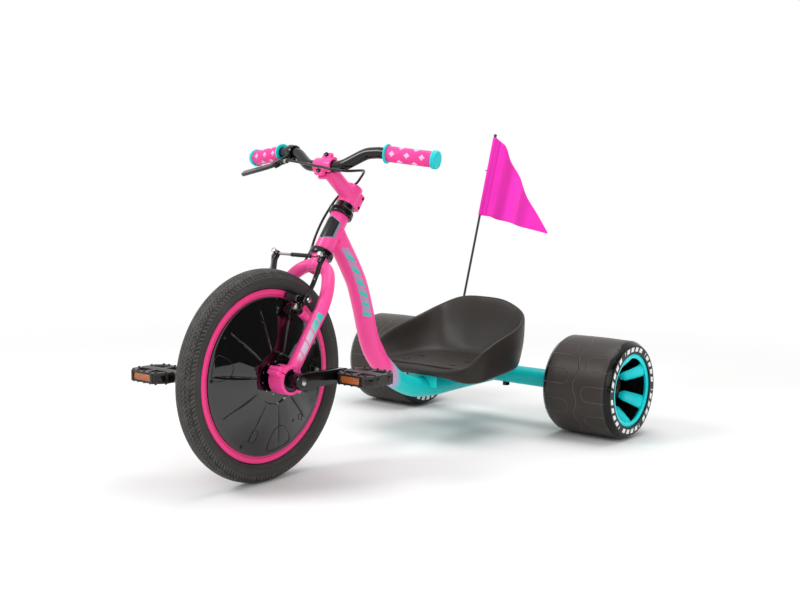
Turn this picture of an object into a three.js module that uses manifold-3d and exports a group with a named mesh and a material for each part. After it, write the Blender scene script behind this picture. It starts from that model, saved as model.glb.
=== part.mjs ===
// Drift trike: one pedalled front wheel, two wide plastic rear wheels and a low bucket seat.
// Millimetres, +Z up. The rider faces -Y and the rider's left is +X.
import * as THREE from 'three';
import { mergeVertices } from 'three/addons/utils/BufferGeometryUtils.js';
import Module from 'manifold-3d';

const wasm = await Module();
wasm.setup();

// Sizes that several pieces share
const gap = 0.3;
const overrun = 6;
const weldTolerance = 0.001;
const wheelbase = 762;
const steeringTilt = THREE.MathUtils.degToRad(36.8);
const rearRadius = 108;
const fullWidth = 726;

// Front wheel
const tyre = { width: 46, height: 37.5, wall: 4, neckRise: 0.9 };
const rim = {
  width: 27, outerRadius: 162.5, depth: 14, wellDepth: 6.5, floorDepth: 18.5, hookWall: 2.5, floorWidth: 12,
};
const hub = {
  flangeRadius: 36, flangeOuter: 30, flangeWall: 4, shellRadius: 20, shoulderRadius: 12,
  shoulderOuter: 38, axleRadius: 8, axleOuter: 79, taperRadius: 6.5, taperOuter: 100,
  spokeThickness: 2.6, spokeCircle: 31,
};
const spokeCount = 14;
const wheelSides = 24;
const cover = {
  wall: 2, lip: 5, lipOuter: 15.6, shoulderRadius: 49, shoulderOuter: 36, boreRadius: 21,
  creaseDepth: 1.8, bulge: 1.2,
};
const creaseCount = 10;
const creaseTurn = THREE.MathUtils.degToRad(28);
const coverShares = [0.8, 0.45];
const crank = {
  length: 114, bossRadius: 15, eyeRadius: 12, thickness: 13, bossInner: 79.5, outer: 106,
  spindleRadius: 5, collarRadius: 9, collarLength: 1.4,
};
const pedal = {
  width: 92, length: 84, thickness: 20, clearance: 0.6, barrelRadius: 10.5, rail: 10, post: 11,
  strut: 9, reflectorWidth: 44, reflectorHeight: 13, reflectorDepth: 4, endWall: 12,
};

// Fork, clamps and steering bearings
const leg = {
  radius: 12.7, spread: 66, foot: 16, straightTop: 158, bowSide: 55, bowHeight: 201, shoulderSide: 36,
  shoulderHeight: 233, crownSide: 12, crownHeight: 245,
};
const clamp = {
  inner: 43, outer: 78, boreRadius: 21, outerRadius: 27, earReach: 11, earThickness: 8,
  boltRadius: 3, boltHeadRadius: 5, boltHead: 4, split: 0.15,
};
const brakePost = {
  spread: 40, below: 22.8, radius: 5, bossRadius: 7, seatRadius: 8, rootSide: 60, rootDrop: 10, head: 4,
  setForward: 8,
};
const steerer = {
  radius: 14.3, wall: 2.4, bottom: 231, collarRadius: 17.5, collarBottom: 255, collarTop: 264, top: 429,
  topWall: 3,
};
const headset = {
  lowerBottom: 264.3, lowerTop: 277, upperBottom: 361, upperTop: 372, coverTop: 377,
  cupRadius: 24, coverRadius: 23.5, spacerRadius: 18.8, insert: 10,
};
const headTube = { radius: 19, bore: 16 };

// Stem, handlebar and grips
const stem = {
  bottom: 387.3, height: 43, outerRadius: 19, reach: 92, barHeight: 414.7, neckRadius: 15.5,
  barrelWidth: 44, barrelRadius: 16, slot: 5, lugReach: 10, lugWidth: 26, lugMargin: 3, boltRadius: 3,
  boltHeadRadius: 4.6, boltHead: 4, boltOffset: 19, earWidth: 22, earBottom: 9, earTop: 25, earDepth: 10,
  facePlate: 8, pinchOffset: 11,
};
const bar = { radius: 11.1, wall: 2.2 };
const barPlaces = [[0, -92, 414.7], [30, -92, 414.7], [46, -93.5, 416.5], [90, -94, 443], [108, -93.5, 446]];
const barShoulder = [120, -92.95, 446.8];
const barEnd = [228, -66.6, 452];
const grip = {
  length: 97, radius: 15, flangeRadius: 18.5, flangeWidth: 4, plugRadius: 17.5, plugWidth: 11, plugCrown: 3,
  plugInsert: 22,
};

// Brake lever: its plane holds the grip's direction and leans forward under the bar
const leverLean = THREE.MathUtils.degToRad(17.5);
const lever = {
  clampStart: 97, clampEnd: 112, clampRadius: 15.5, clampMiddle: [-104.5, -93.6, 445.4],
  rootOut: 3, rootDown: 13, rootRadius: 9, pivotOut: 21, pivotDown: 33, cheekRadius: 8, bodyThickness: 12,
  pinRadius: 2.5, slotClearance: 0.4, slotStart: 12.5, slotReach: 50, slotFloor: 20,
  hubRadius: 7, bladeThickness: 6, kneeOut: 41, kneeDown: 39.5, kneeRadius: 6, tipOut: 122.7, tipDown: 50.5,
  tipRadius: 6.5, barrelDown: 30, bossRadius: 6, bossStart: -3, bossEnd: 12, barrelRadius: 5, barrelStart: -14,
  shankRadius: 3, shankEnd: 4, housingEnd: -8,
};
const arm = {
  back: 23, thickness: 12, rootRadius: 9, kneeSpread: 50, kneeRise: 25.2, kneeRadius: 7.5, topSpread: 59.5,
  topHeight: 228, topForward: 50, tipRadius: 6, anchorRadius: 5.5, anchorLength: 9, pivotBoss: 16.5,
};
const pad = {
  gap: 1.5, thickness: 9, rimMargin: 1.5, washerRadius: 7.5, studRadius: 3,
  washerInner: 38.5, washerOuter: 51.5, nutRadius: 5.5, nutLength: 6, plateLength: 4,
};
const padAngle = THREE.MathUtils.degToRad(19);
const noodle = {
  radius: 2.6, ferruleRadius: 4, ferruleLength: 7, bracketWidth: 10, bracketDepth: 11, bracketTop: 241.5,
  headRadius: 4.2, headLength: 3, end: -22,
};
const noodlePlaces = [[-77, -31, 212], [-75, -36, 220], [-73.5, -44, 230], [-71, -49, 235.2], [-67.5, -50, 236]];
const noodleHeight = 236;
const boot = { radius: 4.2, neckRadius: 2.9, end: 30, wireRadius: 0.9, wireEnd: 53.6 };
const bootRibs = 5;
const cable = { radius: 2.5 };
const cablePlaces = [
  [-54, -108.5, 410.5], [-20, -113.5, 402], [18, -116, 395], [44, -113, 392], [62, -95, 402], [66, -67, 424],
  [50, -42, 440], [26, -20, 441], [-1, 0, 439], [-16, 3, 437.5], [-28, 5, 426], [-35, 2, 400], [-36.5, -3, 350],
  [-37, -1, 312], [-45, 12, 280], [-60, 20, 248], [-80, 18, 215], [-88, 2, 194], [-82, -20, 198],
];

// Frame
const spine = { radius: 20.65, wall: 2, headRise: 262.6, flatRun: 306 };
// Main tube, as shares of the way back and of the height: its bend behind the head tube, then its level run
const spineBendShares = [
  [0, 1], [0.045, 0.95], [0.264, 0.705], [0.337, 0.564], [0.395, 0.423], [0.457, 0.307], [0.53, 0.234],
  [0.661, 0.138], [0.757, 0.09], [0.892, 0.042], [1, 0.017],
];
const spineFlatShares = [[0.193, -0.003], [0.539, 0], [1, 0]];
const beam = { radius: 20.65, wall: 2, wheelGap: 7 };
const saddle = {
  halfWidth: 52, thickness: 3, lowEdge: 4, boltSide: 35, boltRadius: 4, headRadius: 7.5, headHeight: 5,
  nutHeight: 9, nutRoot: 18.5,
};
const rearAxle = {
  radius: 6, capLength: 2, collarRadius: 10, nutRadius: 10, nutLength: 9, plugLength: 40,
};
const socket = { side: -127, radius: 6.5, top: 80, floor: 27 };
const poleLean = THREE.MathUtils.degToRad(17.4);
const pole = { radius: 2.8, length: 583, capRadius: 4, capLength: 8 };
const flag = {
  hoistLow: 375.5, hoistHigh: 574.5, sleeveRadius: 4.4, tipSide: 45, tipBack: 150, tipRise: 319,
  thickness: 0.9, foldDepth: 13, waveDepth: 6, tail: 3,
};

// Seat and its bracket
const seat = {
  halfWidth: 151, beamReach: 291, length: 246, floorRise: 54, rise: 126, middle: 119, wall: 4, lip: 5, crown: 1.5,
  lipDrop: 5, webDrop: 10, push: 2.4, bulge: 5, boltSide: 63, boltFront: 40, boltRear: 94, boltRadius: 4,
  headRadius: 7.5, headHeight: 3.5, nutRadius: 7.5, nutHeight: 5,
};
const seatRimShares = [
  [0, 0, -0.032], [0.563, 0.004, -0.04], [0.828, 0.037, 0.04], [0.974, 0.138, 0.27], [1, 0.362, 0.429],
  [0.96, 0.728, 0.595], [0.795, 0.943, 0.778], [0.43, 1, 0.96], [0, 0.996, 1],
];
const seatFloorShares = [
  [0, 0.037, 0], [0.497, 0.037, 0], [0.649, 0.061, 0], [0.715, 0.138, 0], [0.728, 0.321, 0], [0.662, 0.565, 0],
  [0.497, 0.707, 0], [0.252, 0.768, 0], [0, 0.785, 0],
];
// Bowl wall rings: share of the way out, share of the climb
const bowlShares = [[0.35, 0.2], [0.7, 0.55]];
const seatSkirtShares = [
  [0, 0.012, -0.183], [0.464, 0.016, -0.198], [0.781, 0.045, -0.246], [0.914, 0.138, -0.246],
  [0.947, 0.362, -0.2], [0.92, 0.687, -0.15], [0.76, 0.882, -0.09], [0.4, 0.943, 0], [0, 0.947, 0.04],
];
const bracket = {
  halfWidth: 80, frontInset: 15, length: 106, thickness: 3, forwardTravel: 15, rearTravel: 5, flangeHalf: 38,
  flangeDepth: 46,
};

// Rear wheels
const rearTyre = {
  width: 166, wall: 6, bore: 80, bevelLength: 12, bevelRadius: 99, shoulderRadius: 106.8, hollowRadius: 94,
  hollowEdge: 12, hollowTop: 100.5,
};
const rearHub = {
  ringWall: 6, inset: 3, barrelRadius: 22, barrelFront: 102, webPlace: 58, webWall: 4, boreRadius: 13,
  spokeHalfTop: 15, spokeHalfRoot: 9.5, spokeWall: 9, spokeCrown: 4, lipDepth: 3, lipWall: 3.5, rootDrop: 6,
};
const rearSpokeCount = 6;
const rearSides = 20;
const bearing = { width: 12, spacerRadius: 9, setBack: 0.5, inset: 1.5 };

// Places worked out from the sizes
const tyreRadius = rim.outerRadius + tyre.height;
const wheelCentre = new THREE.Vector3(0, 0, tyreRadius);
const rimInnerRadius = rim.outerRadius - rim.depth;
const rimWellRadius = rim.outerRadius - rim.wellDepth;
const rimFloorRadius = rim.outerRadius - rim.floorDepth;
const beadRadius = rimWellRadius + gap;
const crankArmSide = crank.outer - crank.thickness;
const rearInner = fullWidth / 2 - rearTyre.width;
const beamHalf = rearInner - beam.wheelGap;
const seatFront = wheelbase - seat.beamReach;
const seatCentre = seatFront + seat.middle;
const seatFloor = rearRadius + seat.floorRise;
const seatBoltPlaces = [seatFront + seat.boltFront, seatFront + seat.boltRear];
const bracketFront = seatFront + bracket.frontInset;
const bracketRear = bracketFront + bracket.length;
const padInnerRadius = rimInnerRadius + pad.rimMargin;
const padOuterRadius = rim.outerRadius - pad.rimMargin;
const padForward = arm.back + arm.thickness / 2;
const padHeight = Math.sqrt(((padInnerRadius + padOuterRadius) / 2) ** 2 - padForward ** 2);
const postHeight = padHeight - brakePost.below;
const kneeHeight = padHeight + arm.kneeRise;

const colours = {
  pink: [0xf2569b, 0.35, 0.1], rimPink: [0xf0438a, 0.35, 0.2], teal: [0x2fc9c6, 0.4, 0.1],
  black: [0x141414, 0.35, 0.2], gloss: [0x0c0c0c, 0.12, 0], rubber: [0x2e2e2d, 0.85, 0],
  plastic: [0x343230, 0.55, 0], steel: [0xc4c4c6, 0.3, 0.9], amber: [0xb85a14, 0.25, 0],
  magenta: [0xe01fb4, 0.8, 0], grip: [0xf04a9e, 0.7, 0],
};

function finish(name) {
  const [color, roughness, metalness] = colours[name];
  return new THREE.MeshStandardMaterial({ color, roughness, metalness });
}

// Turn a geometry into a solid, with its faces outwards
function solidOf(geometry) {
  const bare = new THREE.BufferGeometry();
  bare.setAttribute('position', geometry.getAttribute('position').clone());
  if (geometry.index) bare.setIndex(geometry.index.clone());
  const merged = mergeVertices(bare, weldTolerance);
  const places = merged.getAttribute('position');
  const corners = merged.index.array;
  const kept = [];
  let volume = 0;
  for (let i = 0; i < corners.length; i += 3) {
    const [a, b, c] = [corners[i], corners[i + 1], corners[i + 2]];
    if (a === b || b === c || c === a) continue;
    kept.push(a, b, c);
    const [p, q, r] = [a, b, c].map((k) => new THREE.Vector3().fromBufferAttribute(places, k));
    volume += p.dot(q.cross(r));
  }
  if (volume < 0) kept.reverse();
  const mesh = new wasm.Mesh({
    numProp: 3, vertProperties: new Float32Array(places.array), triVerts: new Uint32Array(kept),
  });
  return new wasm.Manifold(mesh);
}

function geometryOf(solid) {
  const { vertProperties, triVerts } = solid.getMesh();
  const geometry = new THREE.BufferGeometry();
  geometry.setAttribute('position', new THREE.BufferAttribute(new Float32Array(vertProperties), 3));
  geometry.setIndex(new THREE.BufferAttribute(new Uint32Array(triVerts), 1));
  return geometry;
}

// The same piece for the other side of the trike
function otherSide(solid) {
  return solidOf(geometryOf(solid).scale(-1, 1, 1));
}

function meshOf(name, solid, colour) {
  const geometry = geometryOf(solid);
  geometry.computeVertexNormals();
  const mesh = new THREE.Mesh(geometry, finish(colour));
  mesh.name = name;
  return mesh;
}

// A closed or axis-ended profile of [along, radius] turned about X, Y or Z
function turned(profile, sides, axis) {
  const points = profile.map(([along, radius]) => new THREE.Vector2(radius, along));
  const geometry = new THREE.LatheGeometry(points, sides);
  if (axis === 'x') geometry.rotateZ(-Math.PI / 2);
  if (axis === 'z') geometry.rotateX(Math.PI / 2);
  return geometry;
}

// A rod or ring between two places along an axis
function rodGeometry(radius, from, to, sides, axis) {
  return turned([[from, 0], [from, radius], [to, radius], [to, 0]], sides, axis);
}

function rod(radius, from, to, sides, axis, shift = [0, 0, 0]) {
  return solidOf(rodGeometry(radius, from, to, sides, axis).translate(...shift));
}

function ring(inner, outer, from, to, sides, axis) {
  const loop = [[from, inner], [from, outer], [to, outer], [to, inner], [from, inner]];
  return solidOf(turned(loop, sides, axis));
}

function block(low, high) {
  const size = high.map((value, k) => value - low[k]);
  const middle = high.map((value, k) => (value + low[k]) / 2);
  return solidOf(new THREE.BoxGeometry(...size).translate(...middle));
}

function roundShape(radius, wall = 0) {
  const shape = new THREE.Shape();
  shape.absarc(0, 0, radius, 0, Math.PI * 2);
  if (wall > 0) {
    const hole = new THREE.Path();
    hole.absarc(0, 0, radius - wall, 0, Math.PI * 2, true);
    shape.holes.push(hole);
  }
  return shape;
}

// A tube along a curve, solid or with a wall
function tube(curve, radius, wall, sides, steps) {
  const options = { steps, curveSegments: sides / 2, extrudePath: curve, bevelEnabled: false };
  return new THREE.ExtrudeGeometry(roundShape(radius, wall), options);
}

function extruded(shape, depth, sides) {
  return new THREE.ExtrudeGeometry(shape, { depth, curveSegments: sides, bevelEnabled: false });
}

// Two round ends with straight sides, the second end at [reach, 0]
function strapShape(rootRadius, endRadius, reach) {
  const lean = Math.acos((rootRadius - endRadius) / reach);
  const shape = new THREE.Shape();
  shape.absarc(0, 0, rootRadius, lean, Math.PI * 2 - lean);
  shape.absarc(reach, 0, endRadius, -lean, lean);
  return shape;
}

function joined(solids) {
  return solids.reduce((sum, solid) => sum.add(solid));
}

function cut(solid, cutters) {
  return cutters.reduce((rest, cutter) => rest.subtract(cutter), solid);
}

// Radius of a bore whose flats clear a rod by the gap
function boreOver(radius, sides) {
  return (radius + gap) / Math.cos(Math.PI / sides);
}

// A geometry made along Z, moved to a place and turned to a direction
function placed(geometry, at, direction) {
  const up = new THREE.Vector3(0, 0, 1);
  geometry.applyQuaternion(new THREE.Quaternion().setFromUnitVectors(up, direction.clone().normalize()));
  return geometry.translate(at.x, at.y, at.z);
}

// A straight link with round ends between two [x, z] places, its front face at y = -depth
function link(from, to, fromRadius, toRadius, depth) {
  const [run, climb] = [to[0] - from[0], to[1] - from[1]];
  const shape = strapShape(fromRadius, toRadius, Math.hypot(run, climb));
  const strap = extruded(shape, depth, 4).rotateZ(Math.atan2(climb, run)).rotateX(Math.PI / 2);
  return strap.translate(from[0], 0, from[1]);
}

// Rings of points with equal counts, joined in order and closed at both ends
function loft(rings) {
  const count = rings[0].length;
  const positions = rings.flat();
  const faces = [];
  for (let i = 0; i + 1 < rings.length; i += 1) {
    for (let k = 0; k < count; k += 1) {
      const a = i * count + k;
      const b = i * count + (k + 1) % count;
      faces.push(a, b, b + count, a, b + count, a + count);
    }
  }
  for (const [ring, order] of [[0, 1], [rings.length - 1, -1]]) {
    const start = ring * count;
    const middle = new THREE.Vector3();
    rings[ring].forEach((point) => middle.addScaledVector(point, 1 / count));
    positions.push(middle);
    const hub = positions.length - 1;
    for (let k = 0; k < count; k += 1) {
      const edge = [start + (k + 1) % count, start + k];
      faces.push(hub, ...(order > 0 ? edge : edge.reverse()));
    }
  }
  const geometry = new THREE.BufferGeometry().setFromPoints(positions);
  geometry.setIndex(faces);
  return solidOf(geometry);
}

// From the steering frame, whose Z is the steering axis, to the trike's frame
function steered(geometry) {
  return geometry.rotateX(-steeringTilt).translate(0, 0, tyreRadius);
}

function curveThrough(points, closed = false) {
  const places = points.map((point) => new THREE.Vector3(...point));
  return new THREE.CatmullRomCurve3(places, closed, 'centripetal');
}

// Front tyre: a hollow carcass that is open at the beads
function frontTyre() {
  const outerShares = [[0, 1], [0.5, 0.955], [0.84, 0.8], [1, 0.5], [0.6, 0.18]];
  const innerShares = [[0.8, 0.5], [0, 0.9]];
  const height = tyreRadius - beadRadius;
  const neck = rim.width / 2 - rim.hookWall - gap;
  const place = ([side, up]) => [side * tyre.width / 2, beadRadius + up * height];
  const outside = outerShares.map(place);
  outside.push([neck, rim.outerRadius + tyre.neckRise], [neck, beadRadius], [neck - tyre.wall, beadRadius]);
  const inside = innerShares.map(place);
  const right = [...outside, ...inside];
  const left = right.slice(1, -1).reverse().map(([side, radius]) => [-side, radius]);
  return solidOf(turned([...right, ...left, right[0]], wheelSides, 'x'));
}

function frontRim() {
  const half = rim.width / 2;
  const well = half - rim.hookWall;
  const right = [
    [well, rimWellRadius], [well, rim.outerRadius], [half, rim.outerRadius], [half, rimInnerRadius],
    [rim.floorWidth / 2, rimFloorRadius],
  ];
  const left = [...right].reverse().map(([side, radius]) => [-side, radius]);
  return solidOf(turned([...right, ...left, right[0]], wheelSides, 'x'));
}

// Hub shell, flanges, axle and spokes in one piece
function frontHub() {
  const flangeInner = hub.flangeOuter - hub.flangeWall;
  const right = [
    [flangeInner, hub.shellRadius], [flangeInner, hub.flangeRadius], [hub.flangeOuter, hub.flangeRadius],
    [hub.flangeOuter, hub.shoulderRadius], [hub.shoulderOuter, hub.shoulderRadius],
    [hub.shoulderOuter, hub.axleRadius], [hub.axleOuter, hub.axleRadius],
    [hub.axleOuter, hub.taperRadius], [hub.taperOuter, hub.taperRadius], [hub.taperOuter, 0],
  ];
  const left = [...right].reverse().map(([side, radius]) => [-side, radius]);
  const spokes = [];
  const flangeMiddle = hub.flangeOuter - hub.flangeWall / 2;
  const run = rimFloorRadius - gap - hub.spokeCircle;
  const lean = Math.atan2(flangeMiddle - rim.floorWidth / 4, run);
  for (let i = 0; i < spokeCount; i += 1) {
    const side = i % 2 ? 1 : -1;
    const length = run / Math.cos(lean) - hub.spokeThickness;
    const spoke = new THREE.BoxGeometry(hub.spokeThickness, hub.spokeThickness, length);
    spoke.translate(0, 0, length / 2).rotateY(-side * lean);
    spoke.translate(side * flangeMiddle, 0, hub.spokeCircle).rotateX(i * Math.PI * 2 / spokeCount);
    spokes.push(solidOf(spoke));
  }
  return joined([solidOf(turned([...left, ...right], 10, 'x')), ...spokes]);
}

// Dished cover with radial creases, seated on the hub flange and inside the rim
function wheelCover() {
  const lipRadius = rimInnerRadius - gap;
  const seatSide = rim.width / 2;
  const flat = hub.flangeOuter + gap;
  const rise = cover.shoulderOuter - cover.lipOuter;
  const reach = lipRadius - cover.lip - cover.shoulderRadius;
  const between = (share) => [
    cover.shoulderOuter - rise * share + cover.bulge, cover.shoulderRadius + reach * share, 1,
  ];
  const stations = [
    [seatSide, lipRadius - cover.lip, 0], [seatSide, lipRadius, 0], [cover.lipOuter, lipRadius, 0],
    [cover.lipOuter, lipRadius - cover.lip, 0], between(coverShares[0]), between(coverShares[1]),
    [cover.shoulderOuter, cover.shoulderRadius, 0], [flat + cover.wall, cover.shoulderRadius - cover.wall, 0],
    [flat + cover.wall, cover.boreRadius, 0], [flat, cover.boreRadius, 0],
    [flat, cover.shoulderRadius - cover.wall, 0],
  ];
  const steps = creaseCount * 3;
  const positions = [];
  const faces = [];
  for (let i = 0; i < steps; i += 1) {
    const angle = creaseTurn + i * Math.PI * 2 / steps;
    const depth = i % 3 === 0 ? cover.creaseDepth : 0;
    for (const [place, radius, creased] of stations) {
      positions.push(place - creased * depth, radius * Math.cos(angle), radius * Math.sin(angle));
    }
  }
  const count = stations.length;
  for (let i = 0; i < steps; i += 1) {
    for (let k = 0; k < count; k += 1) {
      const a = i * count + k;
      const b = i * count + (k + 1) % count;
      const c = ((i + 1) % steps) * count + (k + 1) % count;
      const d = ((i + 1) % steps) * count + k;
      faces.push(a, b, c, a, c, d);
    }
  }
  const geometry = new THREE.BufferGeometry();
  geometry.setAttribute('position', new THREE.Float32BufferAttribute(positions, 3));
  geometry.setIndex(faces);
  return solidOf(geometry);
}

// Crank arm with its boss, pedal eye and pedal spindle; the arm points to +Y
function crankArm() {
  const strap = extruded(strapShape(crank.bossRadius, crank.eyeRadius, crank.length), crank.thickness, 4);
  strap.rotateY(Math.PI / 2).rotateX(Math.PI / 2).translate(crankArmSide, 0, 0);
  const boss = rodGeometry(crank.bossRadius, crank.bossInner, crank.outer, 10, 'x');
  const spindleEnd = pedalInner() + pedal.width - pedal.endWall;
  const eye = [0, crank.length, 0];
  const spindle = rod(crank.spindleRadius, crankArmSide, spindleEnd, 10, 'x', eye);
  const collar = rod(crank.collarRadius, crankArmSide, crank.outer + crank.collarLength, 10, 'x', eye);
  const bore = rod(boreOver(hub.taperRadius, 10), crank.bossInner - overrun, hub.taperOuter + gap, 10, 'x');
  return joined([solidOf(strap), solidOf(boss), spindle, collar]).subtract(bore);
}

function pedalInner() {
  return crank.outer + crank.collarLength + pedal.clearance;
}

// Platform pedal about its spindle, with the reflector pockets cut out
function pedalBody() {
  const halfWidth = pedal.width / 2;
  const halfLength = pedal.length / 2;
  const outlineShares = [
    [-1, -0.5], [-0.66, -1], [0.66, -1], [1, -0.62], [1, 0.62], [0.66, 1], [-0.66, 1], [-1, 0.5],
  ];
  const shape = new THREE.Shape(outlineShares.map(([x, y]) => new THREE.Vector2(x * halfWidth, y * halfLength)));
  const plate = solidOf(extruded(shape, pedal.thickness, 4).translate(0, 0, -pedal.thickness / 2));
  const cutters = [reflectorBlock(-1, gap, overrun), reflectorBlock(1, gap, overrun)];
  for (const sx of [-1, 1]) {
    for (const sy of [-1, 1]) {
      const window = new THREE.Shape([
        new THREE.Vector2(sx * pedal.strut / 2, sy * pedal.barrelRadius),
        new THREE.Vector2(sx * (halfWidth - pedal.post), sy * pedal.barrelRadius),
        new THREE.Vector2(sx * (halfWidth - pedal.post), sy * halfLength / 2),
        new THREE.Vector2(sx * (halfWidth - pedal.post * 2), sy * (halfLength - pedal.rail)),
        new THREE.Vector2(sx * pedal.strut / 2, sy * (halfLength - pedal.rail)),
      ]);
      cutters.push(solidOf(extruded(window, pedal.thickness * 2, 4).translate(0, 0, -pedal.thickness)));
    }
  }
  cutters.push(rod(crank.spindleRadius + gap, -halfWidth - overrun, halfWidth - pedal.endWall + gap, 10, 'x'));
  const barrel = rod(pedal.barrelRadius, -halfWidth, halfWidth, 12, 'x');
  return cut(plate.add(barrel), cutters);
}

function reflectorBlock(sy, grow, reachOut) {
  const across = pedal.reflectorWidth / 2 + grow;
  const up = pedal.reflectorHeight / 2 + grow;
  const face = pedal.length / 2;
  const low = sy > 0 ? face - pedal.reflectorDepth - grow : -face - reachOut;
  const high = sy > 0 ? face + reachOut : -face + pedal.reflectorDepth + grow;
  return block([-across, low, -up], [across, high, up]);
}

// Fork leg: bent tube, upper half of the axle housing and the brake post
function forkLeg() {
  const path = curveThrough([
    [leg.spread, 0, leg.foot], [leg.spread, 0, postHeight - brakePost.rootDrop], [leg.spread, 0, leg.straightTop],
    [leg.bowSide, 0, leg.bowHeight], [leg.shoulderSide, 0, leg.shoulderHeight],
    [leg.crownSide, 0, leg.crownHeight], [-leg.crownSide, 0, leg.crownHeight],
  ]);
  const bent = solidOf(tube(path, leg.radius, 0, 10, 11));
  const housing = rod(clamp.outerRadius, clamp.inner, clamp.outer, 14, 'x');
  const wide = 2 * clamp.outerRadius;
  const below = block([0, -wide, -wide], [clamp.outer + overrun, wide, clamp.split]);
  const middle = block(
    [-leg.spread, -leg.spread, steerer.bottom - leg.spread], [gap / 2, leg.spread, steerer.collarTop + overrun],
  );
  const cutters = [
    rod(clamp.boreRadius, clamp.inner - overrun, clamp.outer + overrun, 14, 'x'), below, middle,
    rod(boreOver(steerer.radius, 12), steerer.bottom - overrun, steerer.collarTop, 12, 'z'),
    rod(boreOver(steerer.collarRadius, 12), steerer.collarBottom - gap, steerer.collarTop, 12, 'z'),
    ...earRods(boreOver(clamp.boltRadius, 8), -overrun, clamp.earThickness + overrun),
  ];
  return cut(joined([bent, housing, earBlock(0, clamp.earThickness), brakeBoss()]), cutters);
}

function earBlock(bottom, top) {
  const reach = clamp.outerRadius + clamp.earReach;
  const low = [clamp.inner + clamp.earThickness / 2, -reach, bottom];
  return block(low, [clamp.outer - clamp.earThickness / 2, reach, top]);
}

function earRods(radius, from, to) {
  const reach = clamp.outerRadius + clamp.earReach / 2;
  const middle = (clamp.inner + clamp.outer) / 2;
  return [-reach, reach].map((y) => rod(radius, from, to, 8, 'z', [middle, y, 0]));
}

// Stub that carries a brake arm, on a small boss at the inner side of the leg
function brakeBoss() {
  const root = new THREE.Vector3(brakePost.rootSide, 0, postHeight - brakePost.rootDrop);
  const end = new THREE.Vector3(brakePost.spread, -brakePost.setForward, postHeight);
  const bridge = solidOf(tube(new THREE.LineCurve3(root, end), brakePost.bossRadius, 0, 8, 1));
  const at = [brakePost.spread, 0, postHeight];
  const seatFace = rod(brakePost.seatRadius, gap - arm.back, 0, 8, 'y', at);
  const front = -arm.back - arm.pivotBoss - gap;
  const post = rod(brakePost.radius, front, -brakePost.setForward, 8, 'y', at);
  const head = rod(brakePost.bossRadius, front - brakePost.head, front, 8, 'y', at);
  return joined([bridge, seatFace, post, head]);
}

// Lower half of the split axle clamp with its two bolts
function axleClamp() {
  const wide = 2 * clamp.outerRadius;
  const half = rod(clamp.outerRadius, clamp.inner, clamp.outer, 14, 'x');
  const above = block(
    [clamp.inner - overrun, -wide, -clamp.split], [clamp.outer + overrun, wide, wide],
  );
  const bore = rod(clamp.boreRadius, clamp.inner - overrun, clamp.outer + overrun, 14, 'x');
  const lower = cut(half.add(earBlock(-clamp.earThickness, 0)), [above, bore]);
  const headBottom = clamp.earThickness + gap;
  const shanks = earRods(clamp.boltRadius, -clamp.earThickness / 2, headBottom + clamp.boltHead / 2);
  const heads = earRods(clamp.boltHeadRadius, headBottom, headBottom + clamp.boltHead);
  return joined([lower, ...shanks, ...heads]);
}

function frontBearing() {
  const bore = boreOver(hub.axleRadius, 12);
  const race = clamp.boreRadius * Math.cos(Math.PI / 14) - gap;
  return ring(bore, race, clamp.inner + bearing.inset, clamp.outer - bearing.inset, 12, 'x');
}

function steererTube() {
  const bore = steerer.radius - steerer.wall;
  const roof = steerer.top - steerer.topWall;
  return solidOf(turned([
    [roof, 0], [roof, bore], [steerer.bottom, bore], [steerer.bottom, steerer.radius],
    [steerer.collarBottom, steerer.radius], [steerer.collarBottom, steerer.collarRadius],
    [steerer.collarTop, steerer.collarRadius], [steerer.collarTop, steerer.radius],
    [steerer.top, steerer.radius], [steerer.top, 0],
  ], 16, 'z'));
}

// Headset cup with the thin sleeve that enters the head tube
function headsetCup(from, to, sleeveAt, sleeveEnd) {
  const bore = steerer.radius + gap;
  const sleeve = headTube.bore - gap;
  const loop = [[from, bore], [from, headset.cupRadius], [to, headset.cupRadius], [to, bore], [from, bore]];
  const cup = solidOf(turned(loop, 16, 'z'));
  return cup.add(ring(bore, sleeve, Math.min(sleeveAt, sleeveEnd), Math.max(sleeveAt, sleeveEnd), 16, 'z'));
}

function headsetCover() {
  const bore = steerer.radius + gap;
  const bottom = headset.upperTop + gap;
  const top = stem.bottom - gap;
  return solidOf(turned([
    [bottom, bore], [bottom, headset.coverRadius], [headset.coverTop, headset.spacerRadius + gap],
    [headset.coverTop, headset.spacerRadius], [top, headset.spacerRadius], [top, bore], [bottom, bore],
  ], 16, 'z'));
}

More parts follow.
